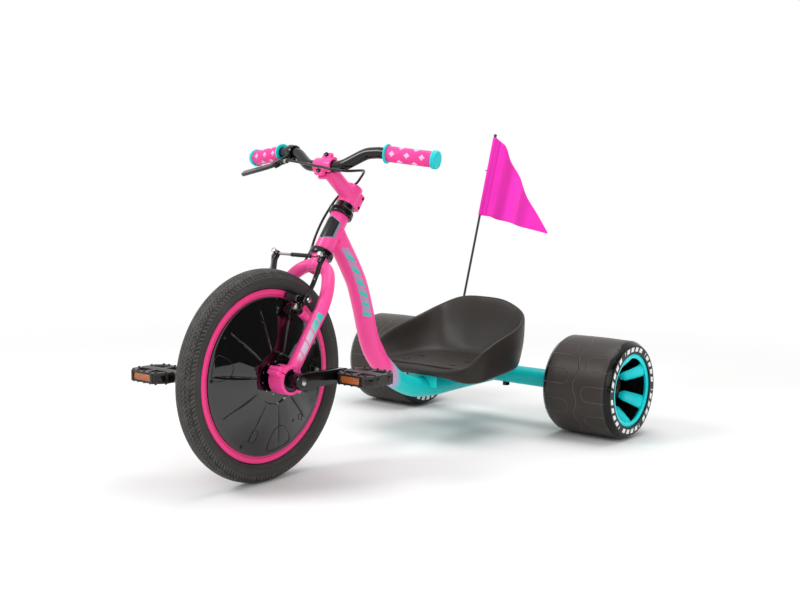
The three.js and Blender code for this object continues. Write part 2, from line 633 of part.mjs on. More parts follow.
// Stem: steerer clamp with a pinch slot behind, neck, and the rear half of the bar clamp
function stemBody() {
  const top = stem.bottom + stem.height;
  const middle = stem.bottom + stem.height / 2;
  const post = rod(stem.outerRadius, stem.bottom, top, 14, 'z');
  const lug = block(
    [-stem.lugWidth / 2, 0, stem.bottom + stem.lugMargin],
    [stem.lugWidth / 2, stem.outerRadius + stem.lugReach, top - stem.lugMargin],
  );
  const root = new THREE.Vector3(0, 0, middle);
  const end = new THREE.Vector3(0, -stem.reach, stem.barHeight);
  const neck = solidOf(tube(new THREE.LineCurve3(root, end), stem.neckRadius, 0, 12, 1));
  const barrel = barClampBarrel();
  const pinch = [-stem.pinchOffset, stem.pinchOffset].map((rise) => rod(
    stem.boltRadius + gap, -stem.lugWidth / 2 - stem.boltHead, stem.lugWidth / 2 + gap, 8, 'x',
    [0, stem.outerRadius + stem.lugReach / 2, middle + rise],
  ));
  const split = block(
    [-stem.slot / 4, 0, stem.bottom - overrun],
    [stem.slot / 4, stem.outerRadius + stem.lugReach + overrun, top + overrun],
  );
  const front = block(
    [-stem.barrelWidth, -stem.reach - stem.barrelWidth, stem.barHeight - stem.barrelWidth],
    [stem.barrelWidth, -stem.reach + stem.slot / 2, stem.barHeight + stem.barrelWidth],
  );
  const shell = joined([post, lug, neck, barrel, ...barClampEars(-stem.reach + stem.earDepth)]);
  const bores = [
    rod(boreOver(steerer.radius, 14), stem.bottom - overrun, top + overrun, 14, 'z'),
    barBore(), front, split, ...faceBolts(boreOver(stem.boltRadius, 8), -stem.reach + stem.earDepth - gap),
  ];
  return joined([cut(shell, bores), ...pinch]);
}

function barClampBarrel() {
  const half = stem.barrelWidth / 2;
  return rod(stem.barrelRadius, -half, half, 14, 'x', [0, -stem.reach, stem.barHeight]);
}

function barBore() {
  const half = stem.barrelWidth / 2 + overrun;
  return rod(boreOver(bar.radius, 14), -half, half, 14, 'x', [0, -stem.reach, stem.barHeight]);
}

// Ears above and below the bar, from the clamp's middle to a far face
function barClampEars(farFace) {
  const half = stem.earWidth / 2;
  const near = Math.min(-stem.reach, farFace);
  const far = Math.max(-stem.reach, farFace);
  return [-1, 1].map((up) => {
    const edges = [stem.barHeight + up * stem.earBottom, stem.barHeight + up * stem.earTop];
    return block([-half, near, Math.min(...edges)], [half, far, Math.max(...edges)]);
  });
}

function faceBolts(radius, end) {
  const start = -stem.reach - stem.slot / 2 - stem.facePlate - overrun;
  return [-1, 1].map((up) => rod(
    radius, start, end, 8, 'y', [0, 0, stem.barHeight + up * stem.boltOffset],
  ));
}

function stemFaceplate() {
  const ears = barClampEars(-stem.reach - stem.slot / 2 - stem.facePlate);
  const back = block(
    [-stem.barrelWidth, -stem.reach - stem.slot / 2, stem.barHeight - stem.barrelWidth],
    [stem.barrelWidth, stem.barrelWidth, stem.barHeight + stem.barrelWidth],
  );
  const holes = faceBolts(boreOver(stem.boltRadius, 8), stem.bottom);
  return cut(joined([barClampBarrel(), ...ears]), [barBore(), back, ...holes]);
}

function faceplateBolt(up) {
  const face = -stem.reach - stem.slot / 2 - stem.facePlate - gap;
  const at = [0, 0, stem.barHeight + up * stem.boltOffset];
  const shankEnd = -stem.reach + stem.earDepth - 2 * gap;
  const shank = rod(stem.boltRadius, face - stem.boltHead / 2, shankEnd, 8, 'y', at);
  return shank.add(rod(stem.boltHeadRadius, face - stem.boltHead, face, 8, 'y', at));
}

function handlebar() {
  const left = [...barPlaces, barShoulder];
  const right = left.slice(1).reverse().map(([x, y, z]) => [-x, y, z]);
  const path = new THREE.CurvePath();
  const outer = new THREE.Vector3(...barEnd);
  const outerRight = outer.clone().multiply(new THREE.Vector3(-1, 1, 1));
  const shoulder = new THREE.Vector3(...barShoulder);
  const shoulderRight = shoulder.clone().multiply(new THREE.Vector3(-1, 1, 1));
  path.add(new THREE.LineCurve3(outerRight, shoulderRight));
  path.add(curveThrough([...right, ...left]));
  path.add(new THREE.LineCurve3(shoulder, outer));
  return solidOf(tube(path, bar.radius, bar.wall, 10, 17));
}

// The straight outer part of the bar, which carries the grip
function gripLine() {
  const end = new THREE.Vector3(...barEnd);
  const along = end.clone().sub(new THREE.Vector3(...barShoulder)).normalize();
  return { end, along };
}

function onGripLine(profile, sides) {
  const { end, along } = gripLine();
  return solidOf(placed(turned(profile, sides, 'z'), end, along));
}

function gripSleeve() {
  const bore = boreOver(bar.radius, 12) + gap;
  const collarEnd = grip.flangeWidth - grip.length;
  return onGripLine([
    [-grip.length, bore], [-grip.length, grip.flangeRadius], [collarEnd, grip.flangeRadius],
    [collarEnd, grip.radius], [0, grip.radius], [0, bore], [-grip.length, bore],
  ], 12);
}

function barPlug() {
  const insert = bar.radius - bar.wall - 2 * gap;
  return onGripLine([
    [-grip.plugInsert, 0], [-grip.plugInsert, insert], [gap, insert], [gap, grip.plugRadius],
    [grip.plugWidth - grip.plugCrown, grip.plugRadius], [grip.plugWidth, grip.plugRadius - grip.plugCrown],
    [grip.plugWidth, 0],
  ], 12);
}

// The lever's frame: X along the grip, Y away from the bar, Z along the pivot
function leverFrame() {
  const along = gripLine().along.multiply(new THREE.Vector3(-1, 1, 1));
  const down = new THREE.Vector3(0, -Math.sin(leverLean), -Math.cos(leverLean));
  down.addScaledVector(along, -down.dot(along)).normalize();
  const across = new THREE.Vector3().crossVectors(along, down);
  return new THREE.Matrix4().makeBasis(along, down, across).setPosition(...lever.clampMiddle);
}

function inLever(geometry) {
  return solidOf(geometry.applyMatrix4(leverFrame()));
}

// A round-ended strap in the lever's plane
function leverStrap(from, to, fromRadius, toRadius, thickness) {
  const [run, climb] = [to[0] - from[0], to[1] - from[1]];
  const strap = extruded(strapShape(fromRadius, toRadius, Math.hypot(run, climb)), thickness, 4);
  strap.rotateZ(Math.atan2(climb, run)).translate(from[0], from[1], -thickness / 2);
  return inLever(strap);
}

function leverPin(radius) {
  const half = lever.bodyThickness / 2;
  const pin = rodGeometry(radius, -half, half, 10, 'z').translate(lever.pivotOut, lever.pivotDown, 0);
  return inLever(pin);
}

function alongBarrel(radius, from, to) {
  return inLever(rodGeometry(radius, from, to, 8, 'x').translate(0, lever.barrelDown, 0));
}

function barLine(radius, reach) {
  const place = ([x, y, z]) => new THREE.Vector3(-x, y, z);
  const [inner, outer] = barPlaces.slice(-2).map(place);
  const along = outer.clone().sub(inner).normalize();
  const start = inner.clone().addScaledVector(along, lever.clampStart + inner.x - reach);
  const end = inner.clone().addScaledVector(along, lever.clampEnd + inner.x + reach);
  return solidOf(tube(new THREE.LineCurve3(start, end), radius, 0, 12, 1));
}

function leverBracket() {
  const pivot = [lever.pivotOut, lever.pivotDown];
  const root = [lever.rootOut, lever.rootDown];
  const body = leverStrap(root, pivot, lever.rootRadius, lever.cheekRadius, lever.bodyThickness);
  const boss = alongBarrel(lever.bossRadius, lever.bossStart, lever.bossEnd);
  const half = lever.bladeThickness / 2 + lever.slotClearance;
  const slot = new THREE.BoxGeometry(lever.slotReach, lever.slotReach, half * 2);
  slot.translate(lever.slotStart + lever.slotReach / 2, lever.slotFloor + lever.slotReach / 2, 0);
  const cutters = [
    barLine(boreOver(bar.radius, 12) + 2 * gap, overrun), inLever(slot),
    alongBarrel(boreOver(lever.shankRadius, 8), lever.bossStart - overrun, lever.shankEnd + gap),
  ];
  return cut(joined([barLine(lever.clampRadius, 0), body, boss]), cutters).add(leverPin(lever.pinRadius));
}

// Two-finger lever blade with its pivot hub
function brakeLever() {
  const pivot = [lever.pivotOut, lever.pivotDown];
  const knee = [lever.kneeOut, lever.kneeDown];
  const tip = [lever.tipOut, lever.tipDown];
  const rootPart = leverStrap(pivot, knee, lever.hubRadius, lever.kneeRadius, lever.bladeThickness);
  const blade = leverStrap(knee, tip, lever.kneeRadius, lever.tipRadius, lever.bladeThickness);
  return rootPart.add(blade).subtract(leverPin(boreOver(lever.pinRadius, 10)));
}

function barrelAdjuster() {
  const headEnd = lever.bossStart - gap;
  const head = alongBarrel(lever.barrelRadius, lever.barrelStart, headEnd);
  const shank = alongBarrel(lever.shankRadius, lever.barrelStart - lever.barrelStart / 2, lever.shankEnd);
  const socketBore = alongBarrel(boreOver(cable.radius, 8), lever.barrelStart - overrun, lever.housingEnd);
  return head.add(shank).subtract(socketBore);
}

// Cable housing from the barrel adjuster over the stem and down to the noodle
function cableHousing() {
  const frame = leverFrame();
  const start = new THREE.Vector3(lever.housingEnd - gap, lever.barrelDown, 0).applyMatrix4(frame);
  const clear = new THREE.Vector3(lever.barrelStart - overrun, lever.barrelDown, 0).applyMatrix4(frame);
  const end = new THREE.Vector3(...noodlePlaces[0]);
  const back = noodleStart().negate();
  const last = end.clone().addScaledVector(back, gap);
  const before = end.clone().addScaledVector(back, noodle.ferruleLength + overrun);
  const path = [start, clear, ...cablePlaces.map((place) => new THREE.Vector3(...place)), before, last];
  const curve = new THREE.CatmullRomCurve3(path, false, 'centripetal');
  return solidOf(tube(curve, cable.radius, 0, 8, 42));
}

function noodleStart() {
  const [from, to] = noodlePlaces.slice(0, 2).map((place) => new THREE.Vector3(...place));
  return to.sub(from).normalize();
}

// Bent guide pipe that turns the cable towards the other arm
function brakeNoodle() {
  const bend = curveThrough(noodlePlaces);
  const pipe = solidOf(tube(bend, noodle.radius, 0, 8, 5));
  const start = new THREE.Vector3(...noodlePlaces[0]);
  const ferrule = placed(
    rodGeometry(noodle.ferruleRadius, -noodle.ferruleLength, gap * 3, 10, 'z'), start, noodleStart(),
  );
  const bore = placed(
    rodGeometry(boreOver(cable.radius, 8) + gap, -noodle.ferruleLength - overrun, 0, 10, 'z'), start, noodleStart(),
  );
  const across = [0, -arm.topForward, noodleHeight];
  const straight = rod(noodle.radius, noodlePlaces.at(-1)[0] - gap, noodle.end, 8, 'x', across);
  const headEnd = -arm.topSpread - noodle.bracketWidth / 2 - gap;
  const head = rod(noodle.headRadius, headEnd - noodle.headLength, headEnd, 10, 'x', across);
  return joined([pipe.add(solidOf(ferrule)).subtract(solidOf(bore)), straight, head]);
}

// Rubber boot over the bare inner wire, between the noodle and the other arm
function cableBoot() {
  const start = noodle.end + gap;
  const pitch = (boot.end - start) / bootRibs;
  const profile = [[start, 0]];
  for (let i = 0; i < bootRibs; i += 1) {
    profile.push([start + i * pitch, boot.neckRadius], [start + (i + 1 / 2) * pitch, boot.radius]);
  }
  profile.push([boot.end, boot.neckRadius], [boot.end, boot.wireRadius]);
  profile.push([boot.wireEnd, boot.wireRadius], [boot.wireEnd, 0]);
  return solidOf(turned(profile, 8, 'x').translate(0, -arm.topForward, noodleHeight));
}

// Linear-pull brake arm on its post, leaning forward above the knee
function brakeArm() {
  const post = [brakePost.spread, postHeight];
  const knee = [arm.kneeSpread, kneeHeight];
  const top = [arm.topSpread, arm.topHeight];
  const lower = link(post, knee, arm.rootRadius, arm.kneeRadius, arm.thickness);
  const upper = link(knee, top, arm.kneeRadius, arm.tipRadius, arm.thickness);
  const lean = (arm.topForward - padForward) / (arm.topHeight - kneeHeight);
  const shear = new THREE.Matrix4().makeShear(0, 0, 0, 0, 0, -lean);
  upper.translate(0, 0, -kneeHeight).applyMatrix4(shear).translate(0, 0, kneeHeight);
  const at = [brakePost.spread, 0, postHeight];
  const boss = rod(arm.rootRadius, -arm.back - arm.pivotBoss, -arm.back, 10, 'y', at);
  const solids = [lower, upper].map((part) => solidOf(part.translate(0, -arm.back, 0)));
  const washer = pad.washerRadius + gap;
  const stud = [0, -padForward, padHeight];
  const bores = [
    rod(boreOver(brakePost.radius, 10), -arm.back - arm.pivotBoss - overrun, -arm.back + overrun, 10, 'y', at),
    rod(boreOver(pad.studRadius, 8), 0, arm.topSpread + overrun, 8, 'x', stud),
    rod(washer, 0, pad.washerInner, 8, 'x', stud),
    rod(washer, pad.washerOuter, arm.topSpread + pad.washerRadius, 8, 'x', stud),
  ];
  return cut(joined([...solids, boss]), bores);
}

// The left arm's top carries the bolt that holds the inner wire
function leftBrakeArm() {
  const front = -arm.topForward - noodle.bracketDepth / 2;
  const at = [arm.topSpread, 0, noodleHeight];
  const anchor = rod(arm.anchorRadius, front - arm.anchorLength / 2, front + arm.anchorLength, 10, 'y', at);
  return joined([brakeArm(), armTop(arm.topSpread), anchor]);
}

function armTop(middle) {
  const half = noodle.bracketWidth / 2;
  const depth = noodle.bracketDepth / 2;
  return block(
    [middle - half, -arm.topForward - depth, arm.topHeight - arm.tipRadius / 2],
    [middle + half, -arm.topForward + depth, noodle.bracketTop],
  );
}

// The right arm's top carries the bracket that the noodle hooks into
function rightBrakeArm() {
  const bore = rod(
    boreOver(noodle.radius, 8), -arm.topSpread - overrun * 2, -arm.topSpread + overrun * 2, 8, 'x',
    [0, -arm.topForward, noodleHeight],
  );
  return otherSide(brakeArm()).add(armTop(-arm.topSpread)).subtract(bore);
}

// Curved brake block with its plate, stud and nut
function brakePad() {
  const face = rim.width / 2 + pad.gap;
  const lean = Math.atan2(padHeight, -padForward);
  const shape = new THREE.Shape();
  shape.absarc(0, 0, padOuterRadius, lean - padAngle / 2, lean + padAngle / 2);
  shape.absarc(0, 0, padInnerRadius, lean + padAngle / 2, lean - padAngle / 2, true);
  const curved = extruded(shape, pad.thickness, 3).rotateX(Math.PI / 2).rotateZ(Math.PI / 2);
  const stud = [0, -padForward, padHeight];
  const back = face + pad.thickness;
  const inner = pad.washerInner - gap;
  const outer = pad.washerOuter + gap;
  return joined([
    solidOf(curved.translate(face, 0, 0)),
    rod(pad.washerRadius, back - pad.plateLength / 2, inner, 8, 'x', stud),
    rod(pad.studRadius, inner - pad.plateLength, outer + pad.plateLength, 8, 'x', stud),
    rod(pad.nutRadius, outer, outer + pad.nutLength, 8, 'x', stud),
  ]);
}

function headTubeSleeve() {
  return ring(headTube.bore, headTube.radius, headset.lowerTop + gap, headset.upperBottom - gap, 20, 'z');
}

function spineCurve() {
  const start = spine.headRise * Math.tan(steeringTilt);
  const flat = wheelbase - spine.flatRun;
  const rise = tyreRadius + spine.headRise - rearRadius;
  const bend = spineBendShares.map(([back, up]) => [0, start + (flat - start) * back, rearRadius + rise * up]);
  const level = spineFlatShares.map(([back, up]) => [0, flat + spine.flatRun * back, rearRadius + rise * up]);
  return curveThrough([...bend, ...level]);
}

function onBeam(radius, from, to, sides = 16) {
  return rod(radius, from, to, sides, 'x', [0, wheelbase, rearRadius]);
}

// Bent main tube with the saddle plate that is bolted over the rear beam
function mainTube() {
  const bent = solidOf(tube(spineCurve(), spine.radius, spine.wall, 12, 12));
  const steeringEnd = solidOf(steered(rodGeometry(
    headTube.radius + gap, headset.lowerTop - spine.radius, headset.upperBottom + spine.radius, 20, 'z',
  )));
  const beamReach = saddle.halfWidth + overrun;
  const seatOver = onBeam(beam.radius + gap, -beamReach, beamReach);
  const plate = onBeam(beam.radius + gap + saddle.thickness, -saddle.halfWidth, saddle.halfWidth);
  const low = block(
    [-beamReach, wheelbase - saddle.halfWidth, 0],
    [beamReach, wheelbase + saddle.halfWidth, rearRadius - saddle.lowEdge],
  );
  const beyond = block(
    [-beamReach, wheelbase - beam.radius / 2, 0],
    [beamReach, wheelbase + saddle.halfWidth, rearRadius + spine.radius * 2],
  );
  const holes = saddleRods(boreOver(saddle.boltRadius, 8), 0, rearRadius);
  const overBeam = cut(plate, [low, ...holes]);
  return cut(joined([cut(bent, [beyond]), overBeam]), [steeringEnd, seatOver]);
}

function saddleRods(radius, from, to) {
  return [-saddle.boltSide, saddle.boltSide].map((x) => rod(radius, from, to, 8, 'z', [x, wheelbase, rearRadius]));
}

// Rear beam with the two bolts and nuts that hold the saddle plate
function rearBeam() {
  const loop = [
    [-beamHalf, beam.radius - beam.wall], [-beamHalf, beam.radius],
    [beamHalf, beam.radius], [beamHalf, beam.radius - beam.wall],
    [-beamHalf, beam.radius - beam.wall],
  ];
  const body = solidOf(turned(loop, 16, 'x').translate(0, wheelbase, rearRadius));
  const headBottom = beam.radius + 2 * gap + saddle.thickness;
  return joined([
    body, ...saddleRods(saddle.boltRadius, -beam.radius, headBottom + saddle.headHeight / 2),
    ...saddleRods(saddle.headRadius, headBottom, headBottom + saddle.headHeight),
    ...saddleRods(saddle.headRadius, -saddle.nutRoot - saddle.nutHeight, -saddle.nutRoot),
  ]);
}

// Stub axle: a plug inside the beam, a collar, the spindle and its nut
function rearAxleStub() {
  const plug = (beam.radius - beam.wall) * Math.cos(Math.PI / 16) - gap;
  const start = beamHalf - rearAxle.plugLength;
  const face = beamHalf + gap;
  const innerFace = rearInner + rearHub.inset + bearing.setBack - gap;
  const outerFace = rearInner + rearHub.barrelFront - bearing.setBack + gap;
  return solidOf(turned([
    [start, 0], [start, plug], [face, plug], [face, beam.radius], [face + rearAxle.capLength, beam.radius],
    [face + rearAxle.capLength, rearAxle.collarRadius], [innerFace, rearAxle.collarRadius],
    [innerFace, rearAxle.radius], [outerFace, rearAxle.radius], [outerFace, rearAxle.nutRadius],
    [outerFace + rearAxle.nutLength, rearAxle.nutRadius], [outerFace + rearAxle.nutLength, 0],
  ], 12, 'x').translate(0, wheelbase, rearRadius));
}

// Channel under the seat: slotted plate and two cross flanges notched over the main tube
function seatBracket() {
  const top = seatFloor - seat.wall - gap;
  const under = top - bracket.thickness;
  const plate = block([-bracket.halfWidth, bracketFront, under], [bracket.halfWidth, bracketRear, top]);
  const flanges = [bracketFront, bracketRear - bracket.thickness].map((y) => block(
    [-bracket.flangeHalf, y, top - bracket.flangeDepth], [bracket.flangeHalf, y + bracket.thickness, top],
  ));
  const slots = [];
  const clear = seat.boltRadius + gap;
  for (const x of [-seat.boltSide, seat.boltSide]) {
    for (const y of seatBoltPlaces) {
      const [low, high] = [y - bracket.forwardTravel, y + bracket.rearTravel];
      const shape = new THREE.Shape();
      shape.absarc(x, low, clear, Math.PI, Math.PI * 2);
      shape.absarc(x, high, clear, 0, Math.PI);
      slots.push(solidOf(extruded(shape, bracket.thickness * 4, 4).translate(0, 0, under - bracket.thickness)));
    }
  }
  const notch = solidOf(tube(spineCurve(), boreOver(spine.radius, 12), 0, 12, 12));
  return cut(joined([plate, ...flanges]), [...slots, notch]);
}

// Things on the flag pole's line, measured up from the rear beam's axis
function onPole(geometry) {
  return solidOf(geometry.rotateX(-poleLean).translate(socket.side, wheelbase, rearRadius));
}

function flagSocket() {
  const outer = onPole(rodGeometry(socket.radius, beam.radius / 2, socket.top, 12, 'z'));
  const bore = onPole(rodGeometry(boreOver(pole.radius, 8), socket.floor - gap, socket.top + overrun, 8, 'z'));
  const beamSkin = onBeam(beam.radius + gap, -beamHalf, beamHalf);
  return cut(outer, [bore, beamSkin]);
}

function flagPole() {
  const capStart = pole.length - pole.capLength;
  return onPole(turned([
    [socket.floor, 0], [socket.floor, pole.radius], [capStart, pole.radius], [capStart, pole.capRadius],
    [pole.length, pole.capRadius], [pole.length, 0],
  ], 8, 'z'));
}

// Hanging three-cornered pennant with its folds, sewn to a sleeve round the pole
function flagCloth() {
  const bore = boreOver(pole.radius, 8);
  const sleeve = onPole(turned([
    [flag.hoistLow, bore], [flag.hoistLow, flag.sleeveRadius], [flag.hoistHigh, flag.sleeveRadius],
    [flag.hoistHigh, bore], [flag.hoistLow, bore],
  ], 8, 'z'));
  const up = new THREE.Vector3(0, Math.sin(poleLean), Math.cos(poleLean));
  const foot = new THREE.Vector3(socket.side + flag.sleeveRadius - gap * 2, wheelbase, rearRadius);
  const low = foot.clone().addScaledVector(up, flag.hoistLow);
  const high = foot.clone().addScaledVector(up, flag.hoistHigh);
  const tip = new THREE.Vector3(flag.tipSide, wheelbase + flag.tipBack, rearRadius + flag.tipRise);
  const rings = [];
  for (let i = 0; i <= 10; i += 1) {
    const along = i / 10;
    const fade = Math.sin(Math.PI * Math.min(1, along * 2)) * (along < 1 / 2 ? 1 : 0);
    const bottom = low.clone().lerp(tip, along);
    const top = high.clone().lerp(tip, along);
    top.z += flag.tail * along;
    const edge = [];
    for (let k = 0; k <= 5; k += 1) {
      const place = bottom.clone().lerp(top, k / 5);
      const fold = Math.sin(along * Math.PI * 2) * flag.foldDepth * (1 - along);
      place.y += fold + fade * flag.waveDepth * (k / 5);
      edge.push(place);
    }
    const half = flag.thickness / 2;
    const front = edge.map(({ x, y, z }) => new THREE.Vector3(x, y - half, z));
    const back = edge.map(({ x, y, z }) => new THREE.Vector3(x, y + half, z)).reverse();
    rings.push([...front, ...back]);
  }
  return sleeve.add(loft(rings));
}

// One closed ring of seat points from shares of the seat's size
function seatRing(shares, inward, down) {
  const places = shares.map(([side, back, up]) => {
    const place = new THREE.Vector3(
      side * seat.halfWidth, seatFront + back * seat.length, seatFloor + up * seat.rise - down,
    );
    const out = new THREE.Vector3(place.x, place.y - seatCentre, 0).normalize();
    return place.addScaledVector(out, -inward);
  });
  const left = places.slice(1, -1).reverse().map(({ x, y, z }) => new THREE.Vector3(-x, y, z));
  const curve = new THREE.CatmullRomCurve3([...places, ...left], true, 'centripetal');
  return curve.getPoints(24).slice(0, -1);
}

function mixRings(first, second, share, climbShare) {
  return first.map((place, i) => new THREE.Vector3(
    place.x + (second[i].x - place.x) * share, place.y + (second[i].y - place.y) * share,
    place.z + (second[i].z - place.z) * climbShare,
  ));
}

function outwards(points, push, drop) {
  return points.map((place) => {
    const out = new THREE.Vector3(place.x, place.y - seatCentre, 0).normalize();
    return place.clone().addScaledVector(out, push).setZ(place.z - drop);
  });
}

// Moulded bucket seat: bowl, rolled rim and outer skirt in one shell, with its four bolts
function seatShell() {
  const floor = seatRing(seatFloorShares, 0, 0);
  const rimInner = seatRing(seatRimShares, seat.lip, 0);
  const crest = seatRing(seatRimShares, seat.lip / 2, -seat.crown);
  const rimOuter = seatRing(seatRimShares, 0, seat.lipDrop / 2);
  const skirt = seatRing(seatSkirtShares, 0, 0);
  const skirtInner = seatRing(seatSkirtShares, seat.wall, 0);
  const underRim = seatRing(seatRimShares, seat.lip + seat.crown, seat.webDrop);
  const bowl = bowlShares.map(([share, climb]) => mixRings(floor, rimInner, share, climb));
  const side = outwards(mixRings(rimOuter, skirt, 1 / 2, 1 / 2), seat.bulge, 0);
  const under = [...bowl].reverse().map((points) => outwards(points, seat.push, seat.wall));
  const shell = loft([
    floor, ...bowl, rimInner, crest, rimOuter, side, skirt, skirtInner,
    mixRings(skirtInner, underRim, 1 / 2, 1 / 2), underRim, ...under, outwards(floor, 0, seat.wall),
  ]);
  const bolts = [];
  const top = seatFloor - seat.wall / 2;
  const nutTop = seatFloor - seat.wall - bracket.thickness - 2 * gap;
  for (const x of [-seat.boltSide, seat.boltSide]) {
    for (const y of seatBoltPlaces) {
      bolts.push(rod(seat.headRadius, top, seatFloor + seat.headHeight, 8, 'z', [x, y, 0]));
      bolts.push(rod(seat.boltRadius, nutTop - seat.nutHeight / 2, top + seat.wall / 4, 6, 'z', [x, y, 0]));
      bolts.push(rod(seat.nutRadius, nutTop - seat.nutHeight, nutTop, 6, 'z', [x, y, 0]));
    }
  }
  return joined([shell, ...bolts]);
}

// Rear tyre: moulded sleeve with bevelled shoulders, open towards the hub
function rearTyreSleeve() {
  const half = rearTyre.width / 2;
  const right = [
    [half, rearTyre.bore], [half, rearTyre.bevelRadius], [half - rearTyre.bevelLength, rearTyre.shoulderRadius],
    [0, rearRadius],
  ];
  const inside = [
    [half - rearTyre.hollowEdge, rearTyre.hollowTop], [half - rearTyre.wall, rearTyre.hollowRadius],
    [half - rearTyre.wall, rearTyre.bore],
  ];
  const left = [...right].slice(0, -1).reverse().map(([side, radius]) => [-side, radius]);
  const insideLeft = [...inside].reverse().map(([side, radius]) => [-side, radius]);
  return solidOf(turned([...right, ...left, ...insideLeft, ...inside, right[0]], rearSides, 'x'));
}

// Deep-dish hub: ring, barrel, web and six crowned spokes that dive to the barrel
function rearHubBody() {
  const low = rearHub.inset;
  const high = rearTyre.width - rearHub.inset;
  const outer = rearTyre.bore - gap;
  const inner = outer - rearHub.ringWall;
  const shell = ring(inner, outer, low, high, rearSides, 'x');
  const lip = ring(
    inner - rearHub.lipWall, inner + rearHub.ringWall / 2, high - rearHub.lipDepth, high, rearSides, 'x',
  );
  const barrel = ring(rearHub.boreRadius, rearHub.barrelRadius, low, rearHub.barrelFront, 12, 'x');
  const web = ring(
    rearHub.barrelRadius - rearHub.ringWall / 2, inner + rearHub.ringWall / 2, rearHub.webPlace,
    rearHub.webPlace + rearHub.webWall, 12, 'x',
  );
  const spokes = [];
  const top = high - rearHub.lipDepth;
  const root = rearHub.barrelFront - rearHub.rootDrop;
  for (let i = 0; i < rearSpokeCount; i += 1) {
    const spoke = loft([
      spokeSection(top, inner + rearHub.ringWall / 2, rearHub.spokeHalfTop),
      spokeSection(root, rearHub.barrelRadius - rearHub.ringWall / 2, rearHub.spokeHalfRoot),
    ]);
    const turn = i * Math.PI * 2 / rearSpokeCount;
    spokes.push(solidOf(geometryOf(spoke).rotateX(turn)));
  }
  return solidOf(geometryOf(joined([shell, lip, barrel, web, ...spokes])).translate(-rearTyre.width / 2, 0, 0));
}

// Crowned six-sided section at a radius, facing outwards at the given place
function spokeSection(place, radius, half) {
  const crown = place - rearHub.spokeCrown;
  return [
    [place - rearHub.spokeWall, -half], [crown, -half], [place, -half / 2], [place, half / 2], [crown, half],
    [place - rearHub.spokeWall, half],
  ].map(([x, y]) => new THREE.Vector3(x, y, radius));
}

// Two bearings on one spacer inside the hub's barrel
function rearBearings() {
  const from = rearHub.inset + bearing.setBack - rearTyre.width / 2;
  const to = rearHub.barrelFront - bearing.setBack - rearTyre.width / 2;
  const bore = rearAxle.radius + gap;
  const race = rearHub.boreRadius - gap;
  return solidOf(turned([
    [from, bore], [from, race], [from + bearing.width, race], [from + bearing.width, bearing.spacerRadius],
    [to - bearing.width, bearing.spacerRadius], [to - bearing.width, race], [to, race], [to, bore], [from, bore],
  ], 12, 'x'));
}

function group(...children) {
  const parent = new THREE.Group();
  parent.add(...children);
  return parent;
}

// Everything that turns with the handlebar, in the steering frame
function steeringParts() {
  const leftLeg = forkLeg();
  const leftClamp = axleClamp();
  const wheelBearing = frontBearing();
  const sleeve = gripSleeve();
  const plug = barPlug();
  return [
    meshOf('fork_leg_left', leftLeg, 'pink'), meshOf('fork_leg_right', otherSide(leftLeg), 'pink'),
    meshOf('axle_clamp_left', leftClamp, 'pink'), meshOf('axle_clamp_right', otherSide(leftClamp), 'pink'),
    meshOf('front_bearing_left', wheelBearing, 'steel'),
    meshOf('front_bearing_right', otherSide(wheelBearing), 'steel'),
    meshOf('steerer', steererTube(), 'pink'), meshOf('headset_cover', headsetCover(), 'black'),
    meshOf('stem', stemBody(), 'pink'), meshOf('stem_faceplate', stemFaceplate(), 'pink'),
    meshOf('faceplate_bolt_upper', faceplateBolt(1), 'black'),
    meshOf('faceplate_bolt_lower', faceplateBolt(-1), 'black'),
    meshOf('handlebar', handlebar(), 'black'),
    meshOf('grip_left', sleeve, 'grip'), meshOf('grip_right', otherSide(sleeve), 'grip'),
    meshOf('bar_plug_left', plug, 'teal'), meshOf('bar_plug_right', otherSide(plug), 'teal'),
    meshOf('lever_bracket', leverBracket(), 'black'), meshOf('brake_lever', brakeLever(), 'black'),
    meshOf('barrel_adjuster', barrelAdjuster(), 'steel'), meshOf('cable_housing', cableHousing(), 'black'),
    meshOf('brake_arm_left', leftBrakeArm(), 'black'), meshOf('brake_arm_right', rightBrakeArm(), 'black'),
    meshOf('brake_pad_left', brakePad(), 'black'), meshOf('brake_pad_right', otherSide(brakePad()), 'black'),
    meshOf('brake_noodle', brakeNoodle(), 'steel'), meshOf('cable_boot', cableBoot(), 'rubber'),
    meshOf('head_tube', headTubeSleeve(), 'pink'),
    meshOf('lower_headset_cup', headsetCup(
      headset.lowerBottom, headset.lowerTop, headset.lowerTop - gap, headset.lowerTop + headset.insert,
    ), 'black'),
    meshOf('upper_headset_cup', headsetCup(
      headset.upperBottom, headset.upperTop, headset.upperBottom + gap, headset.upperBottom - headset.insert,
    ), 'black'),
  ];
}

function frontWheelParts() {
  const shield = wheelCover();
  const leftCrank = crankArm();
  return [
    meshOf('front_tyre', frontTyre(), 'rubber'), meshOf('front_rim', frontRim(), 'rimPink'),
    meshOf('front_hub', frontHub(), 'black'), meshOf('wheel_cover_left', shield, 'gloss'),
    meshOf('wheel_cover_right', otherSide(shield), 'gloss'), meshOf('crank_left', leftCrank, 'black'),
    meshOf('crank_right', solidOf(geometryOf(leftCrank).rotateZ(Math.PI)), 'black'),
  ];
}

// One pedal with its two reflectors, placed on its spindle
function pedalParts(word, sign) {
  const parts = [meshOf(`pedal_${word}`, solidOf(geometryOf(pedalBody()).scale(sign, 1, 1)), 'plastic')];
  for (const [place, sy] of [['front', -1], ['rear', 1]]) {
    parts.push(meshOf(`reflector_${word}_${place}`, reflectorBlock(sy, 0, 0), 'amber'));
  }
  const side = sign * (pedalInner() + pedal.width / 2);
  const placedPedal = group(...parts);
  placedPedal.position.set(side, sign * crank.length, 0);
  return placedPedal;
}

